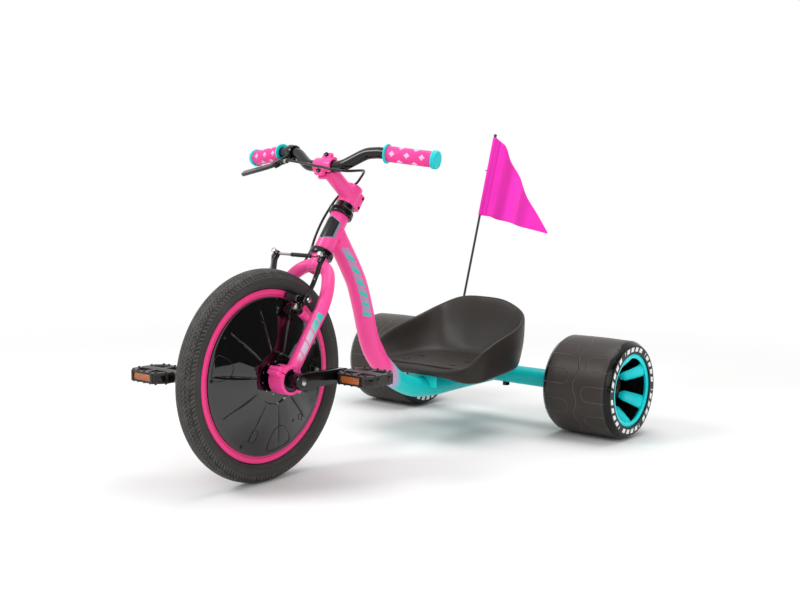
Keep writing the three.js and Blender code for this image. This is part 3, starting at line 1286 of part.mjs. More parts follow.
function rearWheel(word, sign) {
  const mirror = (solid) => (sign > 0 ? solid : otherSide(solid));
  const wheel = group(
    meshOf(`rear_tyre_${word}`, mirror(rearTyreSleeve()), 'plastic'),
    meshOf(`rear_hub_${word}`, mirror(rearHubBody()), 'teal'),
    meshOf(`rear_bearings_${word}`, mirror(rearBearings()), 'steel'),
  );
  wheel.position.set(sign * (rearInner + rearTyre.width / 2), wheelbase, rearRadius);
  return wheel;
}

function frameParts() {
  const axle = rearAxleStub();
  return [
    meshOf('main_tube', mainTube(), 'pink'), meshOf('rear_beam', rearBeam(), 'teal'),
    meshOf('rear_axle_left', axle, 'black'), meshOf('rear_axle_right', otherSide(axle), 'black'),
    meshOf('seat_bracket', seatBracket(), 'teal'), meshOf('flag_socket', flagSocket(), 'black'),
    meshOf('flag_pole', flagPole(), 'black'), meshOf('flag', flagCloth(), 'magenta'),
    meshOf('seat_shell', seatShell(), 'plastic'),
  ];
}

const steering = group(...steeringParts());
steering.rotation.x = -steeringTilt;
steering.position.copy(wheelCentre);
const frontWheel = group(...frontWheelParts(), pedalParts('left', 1), pedalParts('right', -1));
frontWheel.position.copy(wheelCentre);

const trike = group(steering, frontWheel, ...frameParts(), rearWheel('left', 1), rearWheel('right', -1));
const extent = new THREE.Box3().setFromObject(trike, true);
trike.position.set(-(extent.min.x + extent.max.x) / 2, -(extent.min.y + extent.max.y) / 2, -extent.min.z);

export default trike;
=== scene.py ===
import bmesh
import bpy
import math
from functools import partialmethod
from mathutils import Matrix, Vector, noise


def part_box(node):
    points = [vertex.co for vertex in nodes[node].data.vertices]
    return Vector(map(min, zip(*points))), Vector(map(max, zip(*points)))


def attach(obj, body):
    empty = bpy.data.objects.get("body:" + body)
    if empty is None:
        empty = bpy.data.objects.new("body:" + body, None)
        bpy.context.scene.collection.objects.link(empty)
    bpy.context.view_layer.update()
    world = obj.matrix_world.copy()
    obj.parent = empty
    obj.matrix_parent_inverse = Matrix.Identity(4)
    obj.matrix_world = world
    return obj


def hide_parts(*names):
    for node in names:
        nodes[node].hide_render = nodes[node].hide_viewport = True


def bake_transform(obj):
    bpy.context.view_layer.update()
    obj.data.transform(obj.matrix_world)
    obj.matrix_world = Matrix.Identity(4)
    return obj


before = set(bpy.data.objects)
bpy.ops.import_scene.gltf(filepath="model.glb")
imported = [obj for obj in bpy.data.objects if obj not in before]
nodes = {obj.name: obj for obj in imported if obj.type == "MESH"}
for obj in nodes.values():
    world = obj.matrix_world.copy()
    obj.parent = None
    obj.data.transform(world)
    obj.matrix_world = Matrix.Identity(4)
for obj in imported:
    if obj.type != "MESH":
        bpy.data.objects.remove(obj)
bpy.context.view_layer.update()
turnOnce = 2 * math.pi
print("frame loaded:", len(nodes), "nodes")


# A piece's values, read by name
class Values(dict):
    __getattr__ = dict.__getitem__


# Frames: pieces are drawn in millimetres and placed by one of these
millimetre = 0.001
steeringTilt = math.radians(36.8)
shift = Matrix.Translation


def middleOf(node):
    low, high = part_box(node)
    return (low + high) / 2


def frameAt(centre, turn=Matrix.Identity(4)):
    return shift(centre) @ turn @ Matrix.Scale(millimetre, 4)


wheelCentre = middleOf("front_hub")
wheelFrame = frameAt(wheelCentre)
steeringFrame = frameAt(wheelCentre, Matrix.Rotation(-steeringTilt, 4, "X"))
trikeFrame = frameAt((0, wheelCentre.y, 0))
sides = {"left": Matrix.Identity(4), "right": Matrix.Diagonal((-1, 1, 1, 1))}


def addObject(name, data):
    item = bpy.data.objects.new(name, data)
    bpy.context.scene.collection.objects.link(item)
    return item


# Camera, at the photographer's place
cameraSetup = Values(place=(1.5985, -1.9509, 0.6057), azimuth=38.84, elevation=6.69, roll=0.52, lens=54.8)


def makeCamera(setup):
    azimuth, elevation, roll = (math.radians(setup[key]) for key in ("azimuth", "elevation", "roll"))
    level = math.cos(elevation)
    back = Vector((math.sin(azimuth) * level, -math.cos(azimuth) * level, math.sin(elevation)))
    right = (-back).cross(Vector((0, 0, 1))).normalized()
    up = right.cross(-back)
    across = right * math.cos(roll) + up * math.sin(roll)
    upward = -right * math.sin(roll) + up * math.cos(roll)
    camera = addObject("camera", bpy.data.cameras.new("camera"))
    camera.data.lens = setup.lens
    camera.data.clip_start = 0.05
    camera.matrix_world = shift(setup.place) @ Matrix((across, upward, back)).transposed().to_4x4()
    bpy.context.scene.camera = camera


makeCamera(cameraSetup)
bpy.context.scene.view_settings.view_transform = "Standard"
print("camera made")


# A shader node, with each input linked to a socket or set to a plain value
def addNode(tree, kind, inputs, **settings):
    node = tree.nodes.new("ShaderNode" + kind)
    for key, value in settings.items():
        setattr(node, key, value)
    for key, value in inputs.items():
        if isinstance(value, bpy.types.NodeSocket):
            tree.links.new(value, node.inputs[key])
        else:
            node.inputs[key].default_value = value
    return node


# Materials: a field is one value over the surface, built up with plain sums
class Field:
    def __init__(self, tree, socket):
        self.tree = tree
        self.socket = socket

    def combine(self, operation, other=0.5):
        inputs = {0: self.socket, 1: other.socket if isinstance(other, Field) else other}
        return Field(self.tree, addNode(self.tree, "Math", inputs, operation=operation).outputs[0])

    __add__ = partialmethod(combine, "ADD")
    __sub__ = partialmethod(combine, "SUBTRACT")
    __mul__ = partialmethod(combine, "MULTIPLY")
    __truediv__ = partialmethod(combine, "DIVIDE")
    __abs__ = partialmethod(combine, "ABSOLUTE")
    wave = partialmethod(combine, "SINE")
    part = partialmethod(combine, "FRACT")
    above = partialmethod(combine, "GREATER_THAN")
    below = partialmethod(combine, "LESS_THAN")
    atLeast = partialmethod(combine, "MAXIMUM")
    turnTo = partialmethod(combine, "ARCTAN2")

    def ramp(self, start, end):
        inputs = {"Value": self.socket, "From Min": start, "From Max": end}
        node = addNode(self.tree, "MapRange", inputs, interpolation_type="SMOOTHSTEP")
        return Field(self.tree, node.outputs[0])


def lengthOf(first, second):
    return (first * first + second * second).combine("SQRT")


class Finish:
    def __init__(self, name, colour, roughness, metallic=0.0, coat=0.0, coatRoughness=0.05, specular=0.5):
        self.material = bpy.data.materials.new(name)
        self.material.use_nodes = True
        self.material.diffuse_color = (*colour, 1)
        self.tree = self.material.node_tree
        self.shader = self.tree.nodes["Principled BSDF"]
        self.set("Base Color", (*colour, 1))
        self.set("Roughness", roughness)
        self.set("Metallic", metallic)
        self.set("Coat Weight", coat)
        self.set("Coat Roughness", coatRoughness)
        self.set("Specular IOR Level", specular)
        self.colour = (*colour, 1)

    def set(self, name, value):
        self.shader.inputs[name].default_value = value

    def place(self, centre=(0, 0, 0)):
        source = addNode(self.tree, "TexCoord", {}).outputs["Object"]
        moved = addNode(self.tree, "VectorMath", {0: source, 1: centre}, operation="SUBTRACT")
        split = addNode(self.tree, "SeparateXYZ", {0: moved.outputs[0]})
        return [Field(self.tree, split.outputs[k]) for k in range(3)]

    def grain(self, scale, detail=3.0):
        source = addNode(self.tree, "TexCoord", {}).outputs["Object"]
        node = addNode(self.tree, "TexNoise", {"Vector": source, "Scale": scale, "Detail": detail})
        return Field(self.tree, node.outputs["Fac"])

    def tint(self, mask, colour):
        current = self.shader.inputs["Base Color"]
        under = current.links[0].from_socket if current.is_linked else self.colour
        inputs = {"Factor": mask.socket, "A": under, "B": (*colour, 1)}
        mix = addNode(self.tree, "Mix", inputs, data_type="RGBA")
        self.tree.links.new(mix.outputs["Result"], current)
        return self

    def rough(self, field):
        self.tree.links.new(field.socket, self.shader.inputs["Roughness"])
        return self

    def bump(self, height, distance, strength=1.0):
        normal = self.shader.inputs["Normal"]
        inputs = {"Height": height.socket, "Distance": distance, "Strength": strength}
        if normal.is_linked:
            inputs["Normal"] = normal.links[0].from_socket
        node = addNode(self.tree, "Bump", inputs)
        self.tree.links.new(node.outputs["Normal"], normal)
        return self


hues = Values(
    pink=(1.0, 0.078, 0.355), rimPink=(0.95, 0.045, 0.26), lilac=(0.50, 0.42, 0.66), teal=(0.008, 0.60, 0.60),
    magenta=(0.92, 0.028, 0.53), charcoal=(0.037, 0.031, 0.027), black=(0.004, 0.004, 0.0045),
)


def enamel(name, colour):
    finish = Finish(name, colour, 0.36, coat=0.16, coatRoughness=0.08, specular=0.25)
    finish.bump(finish.grain(900, 2), 0.00002, 0.5)
    finish.rough(finish.grain(14, 3) * 0.14 + 0.29)
    return finish.tint(finish.grain(7, 2).ramp(0.45, 0.75) * 0.35, [channel * 0.9 for channel in colour])


def mouldedPlastic(name, colour, roughness, grainScale=1400, specular=0.38):
    finish = Finish(name, colour, roughness, specular=specular)
    finish.bump(finish.grain(grainScale, 2), 0.00005, 0.6)
    finish.rough(finish.grain(30, 4) * 0.16 + (roughness - 0.08))
    return finish.tint(finish.grain(9, 3).ramp(0.35, 0.8) * 0.4, [channel * 1.35 for channel in colour])


def gradedEnamel(name):
    finish = enamel(name, hues.pink)
    x, y, z = finish.place()
    cloud = finish.grain(9, 2) - 0.5
    along = y + cloud * 0.012
    bend = z - 0.35
    middle = bend * -0.47 + bend * bend * -2.2 - 0.104
    away = abs((y - middle) * 0.9 + 0.0075)
    band = away.below(0.0078) * x.above(0.004) * z.above(0.285) * z.below(0.428)
    cuts = ((z + y * 0.5) * 55).part()
    finish.tint(band * cuts.above(0.12) * 0.85, (0.30, 0.38, 0.52))
    finish.tint(band * cuts.above(0.12) * cuts.below(0.52) * away.below(0.006), (0.03, 0.58, 0.54))
    finish.tint(along.ramp(-0.026, -0.002) * 0.85, hues.lilac)
    return finish.tint(along.ramp(-0.008, 0.018), hues.teal)


# Millimetres beside and out from a wheel's middle, and the angle about its axle
def wheelPlace(finish, centre):
    x, y, z = finish.place(centre)
    return x * 1000, lengthOf(y, z) * 1000, z.turnTo(y)


def tyreRubber(name, centre):
    finish = Finish(name, (0.060, 0.057, 0.053), 0.66, specular=0.4)
    side, radius, angle = wheelPlace(finish, centre)
    across = abs(side)
    around = angle * 200
    row = side / 7.4 + 0.5
    way = (row * 0.5).part().above(0.5) * 2 - 1
    slant = abs(((around + way * side * 1.5) / 8.2 + (row - row.part()) * 0.37).part() - 0.5).above(0.32)
    seam = abs(row.part() - 0.5).above(0.41)
    edge = abs(((around + across * 1.5) / 8.2).part() - 0.5).above(0.37) * across.above(11.1)
    onTread = radius.ramp(184.6, 186.4)
    cuts = slant.atLeast(seam).atLeast(edge) * onTread
    # Painted shade: the tread grooves are tinted near black, as shade in the recesses
    finish.tint(cuts, (0.006, 0.006, 0.006))
    worn = finish.grain(90, 3).ramp(0.45, 0.7) * onTread
    finish.tint(worn * 0.35, (0.105, 0.098, 0.09))
    rings = abs(radius - 183.4).below(0.6).atLeast(abs(radius - 170).below(0.5))
    finish.tint(radius.ramp(184.4, 182) * 0.75, (0.026, 0.0245, 0.023))
    # Painted shade: the moulded sidewall rings are darkened, as shade in their grooves
    finish.tint(rings * 0.6, (0.010, 0.009, 0.009))
    finish.tint(finish.grain(30, 4).ramp(0.4, 0.8) * 0.3, (0.075, 0.07, 0.064))
    finish.bump((cuts + rings * 0.4) * -1.0, 0.0014, 1.0)
    return finish.bump(finish.grain(1200, 2), 0.00006, 0.6)


def sleevePlastic(name, centre):
    finish = mouldedPlastic(name, hues.charcoal, 0.40, specular=0.24)
    side, radius, angle = wheelPlace(finish, centre)
    across = abs(side)
    stagger = side.above(0) * 0.5
    around = ((angle * (10 / turnOnce) + stagger).part() - 0.5) * 68
    inward = (across * -1 + 34).atLeast(0)
    bulgeEdge = lengthOf(inward, around) - 17
    onTread = radius.above(99.5)
    outline = abs(bulgeEdge).ramp(1.5, 0.3) * onTread
    panel = bulgeEdge.ramp(0.6, -0.6) * onTread
    ridge = abs(side - (angle * 10).wave() * 4.5).ramp(2.4, 0.3) * onTread
    shoulder = across.ramp(70.2, 70.9)
    doubleLine = abs(across - 67.4).below(0.35).atLeast(abs(across - 65.2).below(0.35)) * onTread
    finish.tint(outline * 0.5 + ridge * 0.4 + doubleLine * 0.3, (0.14, 0.125, 0.112))
    finish.bump(outline + ridge * 1.3 + doubleLine * 0.6 - panel * 0.5, 0.0013, 0.9)
    finish.tint(shoulder, (0.004, 0.004, 0.004))
    finish.rough(shoulder * -0.22 + 0.38)
    word = (angle * (30 / turnOnce) + radius * 0.018).part().below(0.62)
    pause = (angle * (6 / turnOnce) + 0.1).part().above(0.17)
    marks = word * pause * radius.above(85) * radius.below(94.2) * across.above(81)
    return finish.tint(marks, (0.88, 0.88, 0.88))


def wovenCloth(name):
    finish = Finish(name, hues.magenta, 0.72, specular=0.2)
    finish.set("Sheen Weight", 0.35)
    finish.set("Sheen Roughness", 0.45)
    x, y, z = finish.place()
    weave = (x * 5200).wave() * (z * 5200).wave()
    finish.bump(weave, 0.00006, 0.5)
    # Painted shade: the fold valleys are darkened along the fold wave, fading out towards the tip
    foldShadePhase = (x + 0.1226) * 97.5 + 2.3 - z * 2
    finish.tint(foldShadePhase.wave().ramp(0.75, -1) * x.ramp(0.03, -0.05) * 0.7, (0.50, 0.004, 0.25))
    finish.tint(x.below(-0.1155) * 0.2, (0.50, 0.004, 0.25))
    hem = abs(x + 0.115).below(0.0007)
    finish.tint(hem * 0.6, (0.40, 0.004, 0.20))
    return finish.tint(finish.grain(40, 3).ramp(0.4, 0.8) * 0.25, (0.70, 0.012, 0.40))


def plainMetal(name, colour, roughness):
    finish = Finish(name, colour, roughness, metallic=1.0)
    finish.rough(finish.grain(60, 4) * 0.2 + (roughness - 0.08))
    return finish.bump(finish.grain(700, 2), 0.00003, 0.4)


def blackPaint(name, roughness=0.14):
    finish = Finish(name, hues.black, roughness, coat=0.15, coatRoughness=0.05, specular=0.32)
    finish.rough(finish.grain(25, 3) * 0.12 + (roughness - 0.06))
    finish.bump(finish.grain(800, 2), 0.00002, 0.4)
    return finish.tint(finish.grain(12, 3).ramp(0.5, 0.8) * 0.3, (0.012, 0.012, 0.0125))


def creasedGloss(name, centre):
    finish = Finish(name, (0.0025, 0.0025, 0.0025), 0.05, specular=0.78)
    side, radius, angle = wheelPlace(finish, centre)
    away = abs((angle * (10 / turnOnce) - 28 / 36).part() - 0.5) * -1 + 0.5
    gap = away * radius * (turnOnce / 10)
    crease = gap.ramp(1.6, 0.0) * radius.ramp(50, 58) * radius.ramp(136, 118)
    finish.bump(crease * -1.0, 0.0016, 1.0)
    finish.bump(finish.grain(16, 2), 0.0009, 0.35)
    return finish.rough(finish.grain(22, 4).ramp(0.5, 0.9) * 0.05 + 0.035)


def groovedEnamel(name, centre):
    finish = enamel(name, hues.rimPink)
    side, radius, angle = wheelPlace(finish, centre)
    finish.tint(radius.ramp(153.2, 152.4) * 0.6, (0.62, 0.02, 0.14))
    return finish.bump(abs(radius - 153).ramp(0.9, 0.2) * -1.0, 0.0012, 1.0)


# Distances in millimetres beside, behind and up the steering axis
def steeringPlace(finish, centre):
    x, y, z = finish.place(centre)
    sine, cosine = math.sin(steeringTilt), math.cos(steeringTilt)
    return abs(x) * 1000, (y * cosine - z * sine) * 1000, (y * sine + z * cosine) * 1000


def stripedEnamel(name, centre):
    finish = enamel(name, hues.pink)
    out, back, rise = steeringPlace(finish, centre)
    band = abs(back + 5 + (rise - 80) * 0.01).ramp(6.2, 4.8) * out.above(66.5)
    band = band * rise.ramp(34, 52) * rise.below(139)
    cuts = ((rise + back * 0.6) / 24).part().ramp(0.05, 0.2)
    finish.tint(band * cuts * 0.8, (0.52, 0.66, 0.74))
    return finish.tint(band * cuts * rise.ramp(84, 128), (0.03, 0.56, 0.52))


def shieldEnamel(name, centre):
    finish = enamel(name, hues.pink)
    side, back, rise = steeringPlace(finish, centre)
    edge = (side * 0.5 - rise + 296).atLeast(rise + side * 0.45 - 350).atLeast(side - 18.3)
    finish.tint(edge.below(0) * back.below(0), (0.22, 0.27, 0.34))
    return finish.tint(edge.below(-1.8) * back.below(0), (0.012, 0.012, 0.014))


rearCentres = {side: middleOf(f"rear_hub_{side}") for side in sides}
paints = {
    "pink": enamel("pinkEnamel", hues.pink), "graded": gradedEnamel("gradedEnamel"),
    "rim": groovedEnamel("rimEnamel", wheelCentre), "teal": enamel("tealEnamel", hues.teal),
    "black": blackPaint("blackPaint"), "gloss": creasedGloss("coverGloss", wheelCentre),
    "satin": blackPaint("satinBlack", 0.3), "steel": plainMetal("brightSteel", (0.50, 0.49, 0.48), 0.24),
    "pewter": plainMetal("darkSteel", (0.30, 0.29, 0.28), 0.38),
    "tyre": tyreRubber("tyreRubber", wheelCentre),
    "seat": mouldedPlastic("seatPlastic", (0.025, 0.021, 0.018), 0.42, specular=0.24),
    "hub": mouldedPlastic("hubPlastic", (0.003, 0.74, 0.78), 0.34, 900),
    "resin": mouldedPlastic("pedalResin", (0.030, 0.027, 0.025), 0.44, 700),
    "amber": Finish("amberLens", (0.42, 0.10, 0.008), 0.15, coat=0.6),
    "grip": mouldedPlastic("gripRubber", (0.88, 0.045, 0.30), 0.55, 1100),
    "gripMark": mouldedPlastic("gripMark", (0.78, 0.50, 0.76), 0.45, 1100),
    "plug": mouldedPlastic("plugRubber", (0.004, 0.60, 0.63), 0.5, 1100),
    "rubber": mouldedPlastic("brakeRubber", (0.014, 0.014, 0.014), 0.62, 900),
    "jacket": mouldedPlastic("cableJacket", (0.012, 0.012, 0.012), 0.34, 1500),
    "pole": mouldedPlastic("polePlastic", (0.018, 0.019, 0.018), 0.36, 1500),
    "cloth": wovenCloth("wovenCloth"), "striped": stripedEnamel("stripedEnamel", wheelCentre),
    "shield": shieldEnamel("shieldEnamel", wheelCentre),
}
cellX, cellY, cellZ = paints["amber"].place()
paints["amber"].bump((cellX * 2600).wave() * (cellZ * 2600).wave(), 0.0004, 0.7)
for side, centre in rearCentres.items():
    paints[f"sleeve{side}"] = sleevePlastic(f"sleevePlastic{side.title()}", centre)
print("materials made:", len(paints))


# Shapes, in millimetres: each part is moved, given its finish and joined to the piece
def addPart(bm, part, matrix=None, material=0):
    if matrix is not None:
        bmesh.ops.transform(part, matrix=matrix, verts=part.verts)
    for face in part.faces:
        face.material_index = material
    mesh = bpy.data.meshes.new("part")
    part.to_mesh(mesh)
    part.free()
    bm.from_mesh(mesh)
    bpy.data.meshes.remove(mesh)
    return bm


def bevelSharp(bm, width, segments=2, limit=40):
    bm.normal_update()
    sharp = math.radians(limit)
    edges = [edge for edge in bm.edges if len(edge.link_faces) == 2 and edge.calc_face_angle(0) > sharp]
    if edges and width:
        bmesh.ops.bevel(bm, geom=edges, offset=width, offset_type="OFFSET", segments=segments, profile=0.5,
                        affect="EDGES", clamp_overlap=True, material=-1)
    return bm


# A profile of [along, radius] turned about an axis; it closes on itself or ends on the axis
def lathe(profile, count, axis="x", closed=False, angle=turnOnce, bevel=0.0, limit=40, segments=2):
    bm = bmesh.new()
    place = {"x": lambda a, r: (a, 0, r), "y": lambda a, r: (r, a, 0), "z": lambda a, r: (r, 0, a)}[axis]
    corners = [bm.verts.new(place(*point)) for point in profile]
    pairs = list(zip(corners, corners[1:])) + ([(corners[-1], corners[0])] if closed else [])
    edges = [bm.edges.new(pair) for pair in pairs]
    bmesh.ops.spin(bm, geom=corners + edges, cent=(0, 0, 0), axis=[float(axis == name) for name in "xyz"],
                   angle=angle, steps=count, use_merge=angle == turnOnce)
    bmesh.ops.remove_doubles(bm, verts=bm.verts, dist=0.001)
    bmesh.ops.recalc_face_normals(bm, faces=bm.faces)
    return bevelSharp(bm, bevel, segments, limit)


def rod(radius, start, end, axis="x", count=24, bevel=0.5):
    return lathe([(start, 0), (start, radius), (end, radius), (end, 0)], count, axis, bevel=bevel)


# Rods on one axis, each as radius, start, end, sides, bevel and material
def addRods(bm, rods, at, axis):
    for radius, start, end, count, bevel, material in rods:
        addPart(bm, rod(radius, start, end, axis, count, bevel), at, material)


# A plain tube between two places along the axis
def ring(start, end, bore, radius, count, axis="x", **more):
    profile = [(start, bore), (start, radius), (end, radius), (end, bore)]
    return lathe(profile, count, axis, closed=True, **more)


def mirrored(profile):
    return [(-along, radius) for along, radius in reversed(profile)]


def block(low, high, bevel=0.6, segments=2):
    bm = bmesh.new()
    size = Vector(high) - Vector(low)
    middle = (Vector(high) + Vector(low)) / 2
    bmesh.ops.create_cube(bm, size=1, matrix=shift(middle) @ Matrix.Diagonal((*size, 1)))
    return bevelSharp(bm, bevel, segments)


# A smooth path through all the points
def smoothPath(points, stepsEach, closed=False):
    places = [Vector(point) for point in points]
    count = len(places)
    path = []
    for i in range(count if closed else count - 1):
        p1, p2 = places[i], places[(i + 1) % count]
        p0 = places[i - 1] if closed or i else p1 * 2 - p2
        p3 = places[(i + 2) % count] if closed or i + 2 < count else p2 * 2 - p1
        d0, d1, d2 = (max((b - a).length ** 0.5, 0.0001) for a, b in ((p0, p1), (p1, p2), (p2, p3)))
        t1 = ((p1 - p0) / d0 - (p2 - p0) / (d0 + d1) + (p2 - p1) / d1) * d1
        t2 = ((p2 - p1) / d1 - (p3 - p1) / (d1 + d2) + (p3 - p2) / d2) * d1
        for k in range(stepsEach):
            t = k / stepsEach
            bend = (p2 * 3 - p1 * 3 - t1 * 2 - t2) * t ** 2 + (p1 * 2 - p2 * 2 + t1 + t2) * t ** 3
            path.append(p1 + t1 * t + bend)
    if not closed:
        path.append(places[-1])
    return path


# A frame at each place of a path, without twist and as large as the radius there
def pathFrames(path, radii):
    last = len(path) - 1
    frames = []
    turn = None
    previous = None
    for i, place in enumerate(path):
        along = (path[min(i + 1, last)] - path[max(i - 1, 0)]).normalized()
        turn = along.to_track_quat("Z", "Y") if turn is None else previous.rotation_difference(along) @ turn
        previous = along
        frames.append(shift(place) @ turn.to_matrix().to_4x4() @ Matrix.Scale(radii[i], 4))
    return frames


# A round tube along a path, closed at its ends
def sweep(path, radius, count=24):
    radii = radius if isinstance(radius, list) else [radius] * len(path)
    frames = pathFrames([Vector(place) for place in path], radii)
    bm = bmesh.new()
    made = bmesh.ops.create_circle(bm, cap_ends=True, radius=1, segments=count, matrix=frames[0])
    rim = set(made["verts"])
    edges = [edge for edge in bm.edges if set(edge.verts) <= rim]
    for before, after in zip(frames, frames[1:]):
        grown = bmesh.ops.extrude_edge_only(bm, edges=edges)["geom"]
        rim = {item for item in grown if isinstance(item, bmesh.types.BMVert)}
        edges = [item for item in grown if isinstance(item, bmesh.types.BMEdge) and set(item.verts) <= rim]
        bmesh.ops.transform(bm, matrix=after @ before.inverted(), verts=list(rim))
    bmesh.ops.edgeloop_fill(bm, edges=edges)
    bmesh.ops.recalc_face_normals(bm, faces=bm.faces)
    return bm


# Rings of points joined one to the next, closed at both ends
def bridgeRings(rings):
    bm = bmesh.new()
    loops = []
    for points in rings:
        verts = [bm.verts.new(point) for point in points]
        loops.append([bm.edges.new((a, b)) for a, b in zip(verts, verts[1:] + verts[:1])])
    for first, second in zip(loops, loops[1:]):
        bmesh.ops.bridge_loops(bm, edges=first + second)
    for edges in (loops[0], loops[-1]):
        bmesh.ops.edgeloop_fill(bm, edges=edges)
    bmesh.ops.recalc_face_normals(bm, faces=bm.faces)
    return bm


# Cuts away what lies on the normal's side of a plane and closes the cut
def keepSide(bm, point, normal):
    cutAway = bmesh.ops.bisect_plane(bm, geom=bm.verts[:] + bm.edges[:] + bm.faces[:], plane_co=point,
                                     plane_no=normal, clear_outer=True)
    edges = [item for item in cutAway["geom_cut"] if isinstance(item, bmesh.types.BMEdge)]
    bmesh.ops.holes_fill(bm, edges=edges, sides=0)
    return bm


def makeObject(name, bm, materials):
    mesh = bpy.data.meshes.new(name)
    bm.to_mesh(mesh)
    bm.free()
    for material in materials:
        mesh.materials.append(material)
    return addObject(name, mesh)


def makePiece(name, bm, place, body, materials, replaced=(), sharp=38):
    bmesh.ops.transform(bm, matrix=place, verts=bm.verts)
    bmesh.ops.recalc_face_normals(bm, faces=bm.faces)
    piece = makeObject(name, bm, [paints[key].material for key in materials])
    piece.data.polygons.foreach_set("use_smooth", [True] * len(piece.data.polygons))
    piece.data.set_sharp_from_angle(angle=math.radians(sharp))
    if isinstance(body, str):
        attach(piece, body)
    else:
        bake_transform(piece)
    if replaced:
        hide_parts(*replaced)
    return piece


# A CAD node that stays: its own shape with softened edges and a better finish
def dress(node, paint, bevel=0.0005, limit=48):
    piece = nodes[node]
    piece.data.materials.clear()
    piece.data.materials.append(paints[paint].material)
    piece.data.polygons.foreach_set("use_smooth", [True] * len(piece.data.polygons))
    weld = piece.modifiers.new("weld", "WELD")
    weld.merge_threshold = 0.00002
    if bevel:
        soften = piece.modifiers.new("bevel", "BEVEL")
        soften.width = bevel
        soften.segments = 2
        soften.limit_method = "ANGLE"
        soften.angle_limit = math.radians(limit)
        soften.harden_normals = True
        soften.use_clamp_overlap = True


print("shapes ready")

# Front wheel: tyre, rim, hub and covers
tyreSize = Values(radius=200, halfWidth=23, bead=156.3, neck=10.7, neckRadius=163.4)
tyreShares = [
    (0, 1), (0.2, 0.994), (0.38, 0.977), (0.54, 0.946), (0.69, 0.898), (0.8, 0.84), (0.88, 0.772),
    (0.905, 0.742), (0.945, 0.68), (0.985, 0.59), (1, 0.5), (0.99, 0.42), (0.95, 0.345), (0.86, 0.27),
    (0.74, 0.215), (0.6, 0.185),
]


def makeTyre(size):
    height = size.radius - size.bead
    right = [(side * size.halfWidth, size.bead + up * height) for side, up in tyreShares]
    right += [(size.neck, size.neckRadius), (size.neck, size.bead), (size.neck - 4, size.bead)]
    right += [(0.8 * size.halfWidth, size.bead + 0.5 * height), (0, size.bead + 0.9 * height)]
    bm = lathe(right + mirrored(right[1:-1]), 128, closed=True)
    makePiece("tyre", bm, wheelFrame, "front_wheel", ["tyre"], ["front_tyre"], 60)


rimSize = Values(half=13.5, well=11, wellRadius=156, outer=162.5, inner=148.5, floorHalf=6, floor=144)


def makeRim(size):
    right = [
        (size.well, size.wellRadius), (size.well, size.outer), (size.half, size.outer),
        (size.half, size.inner), (size.floorHalf, size.floor),
    ]
    bm = lathe(right + mirrored(right), 128, closed=True, bevel=1.1, limit=50, segments=3)
    makePiece("rim", bm, wheelFrame, "front_wheel", ["rim"], ["front_rim"], 35)


coverSize = Values(
    lip=148.2, lipStart=143.2, seat=13.5, edge=15.6, shoulder=49, shoulderSide=36, flat=30.3,
    wall=2, bore=21, bulge=1.2, crease=0.8, creaseWidth=2.0, creases=10, creaseTurn=28,
    facet=1.0,
)


# How far the cover's outside stands at a radius
def coverSide(size, radius):
    share = (radius - size.shoulder) / (size.lipStart - size.shoulder)
    straight = size.shoulderSide - (size.shoulderSide - size.edge) * share
    return straight + size.bulge * math.sin(math.pi * share)


def onCover(size, radius, turn, lift):
    return coverSide(size, radius) + lift, radius * math.cos(turn), radius * math.sin(turn)


def makeCover(word, size):
    reach = size.lipStart - size.shoulder
    outside = [size.shoulder + reach * share for share in (0.93, 0.8, 0.66, 0.5, 0.34, 0.2, 0.07)]
    front, webRadius = size.flat + size.wall, size.shoulder - size.wall
    profile = [(size.seat, size.lipStart), (size.seat, size.lip), (size.edge, size.lip)]
    profile += [(size.edge, size.lipStart)] + [(coverSide(size, radius), radius) for radius in outside]
    profile += [(size.shoulderSide, size.shoulder), (front, webRadius), (front, size.bore)]
    profile += [(size.flat, size.bore), (size.flat, webRadius)]
    bm = lathe(profile, size.creases * 32, closed=True)
    start = math.radians(size.creaseTurn)
    for vert in bm.verts:
        radius = math.hypot(vert.co.y, vert.co.z)
        if not size.shoulder + 1 < radius < size.lipStart - 1 or vert.co.x < size.edge:
            continue
        turn = (math.atan2(vert.co.z, vert.co.y) - start) * size.creases / turnOnce
        away = abs((turn + 0.5) % 1 - 0.5)
        share = (radius - size.shoulder) / reach
        fade = math.sin(math.pi * min(1, share * 1.15)) ** 0.5 if share < 0.87 else 0.35
        distance = away * turnOnce / size.creases * radius
        vert.co.x -= size.crease * fade * math.exp(-((distance / size.creaseWidth) ** 2))
        vert.co.x += size.facet * (away * 2) * fade
    piece = addPart(bmesh.new(), bm)
    panelOutlines(piece, size)
    coverScrews(piece, size)
    makePiece(f"cover{word.title()}", piece, wheelFrame @ sides[word], "front_wheel",
              ["gloss", "steel", "satin"], [f"wheel_cover_{word}"], 24)


# Panels: turn, inner and outer radius, half angle at each, and the line's half width
panelPlaces = [
    (-79.5, 100, 141, 6.5, 13, 0.45), (166, 104, 140, 6, 10, 0.4), (-113, 103, 126, 2.2, 3.4, 0.4),
    (-48, 112, 126, 1.5, 2.4, 0.4),
]


def panelOutlines(bm, size):
    for degrees, inner, outer, innerHalf, outerHalf, line in panelPlaces:
        corners = [
            (inner, -innerHalf), (inner, innerHalf), (outer - 5, outerHalf), (outer, outerHalf - 2),
            (outer, 2 - outerHalf), (outer - 5, -outerHalf),
        ]
        places = [onCover(size, radius, math.radians(degrees + off), 0.75) for radius, off in corners]
        loop = smoothPath(places, 6, closed=True)
        addPart(bm, sweep(loop + loop[:1], line, 6), None, 2)


# Screws on the cover: radius and turn
screwPlaces = [(140, 4), (138, 38), (106, -122), (139, 150), (108, 78), (139, -60)]


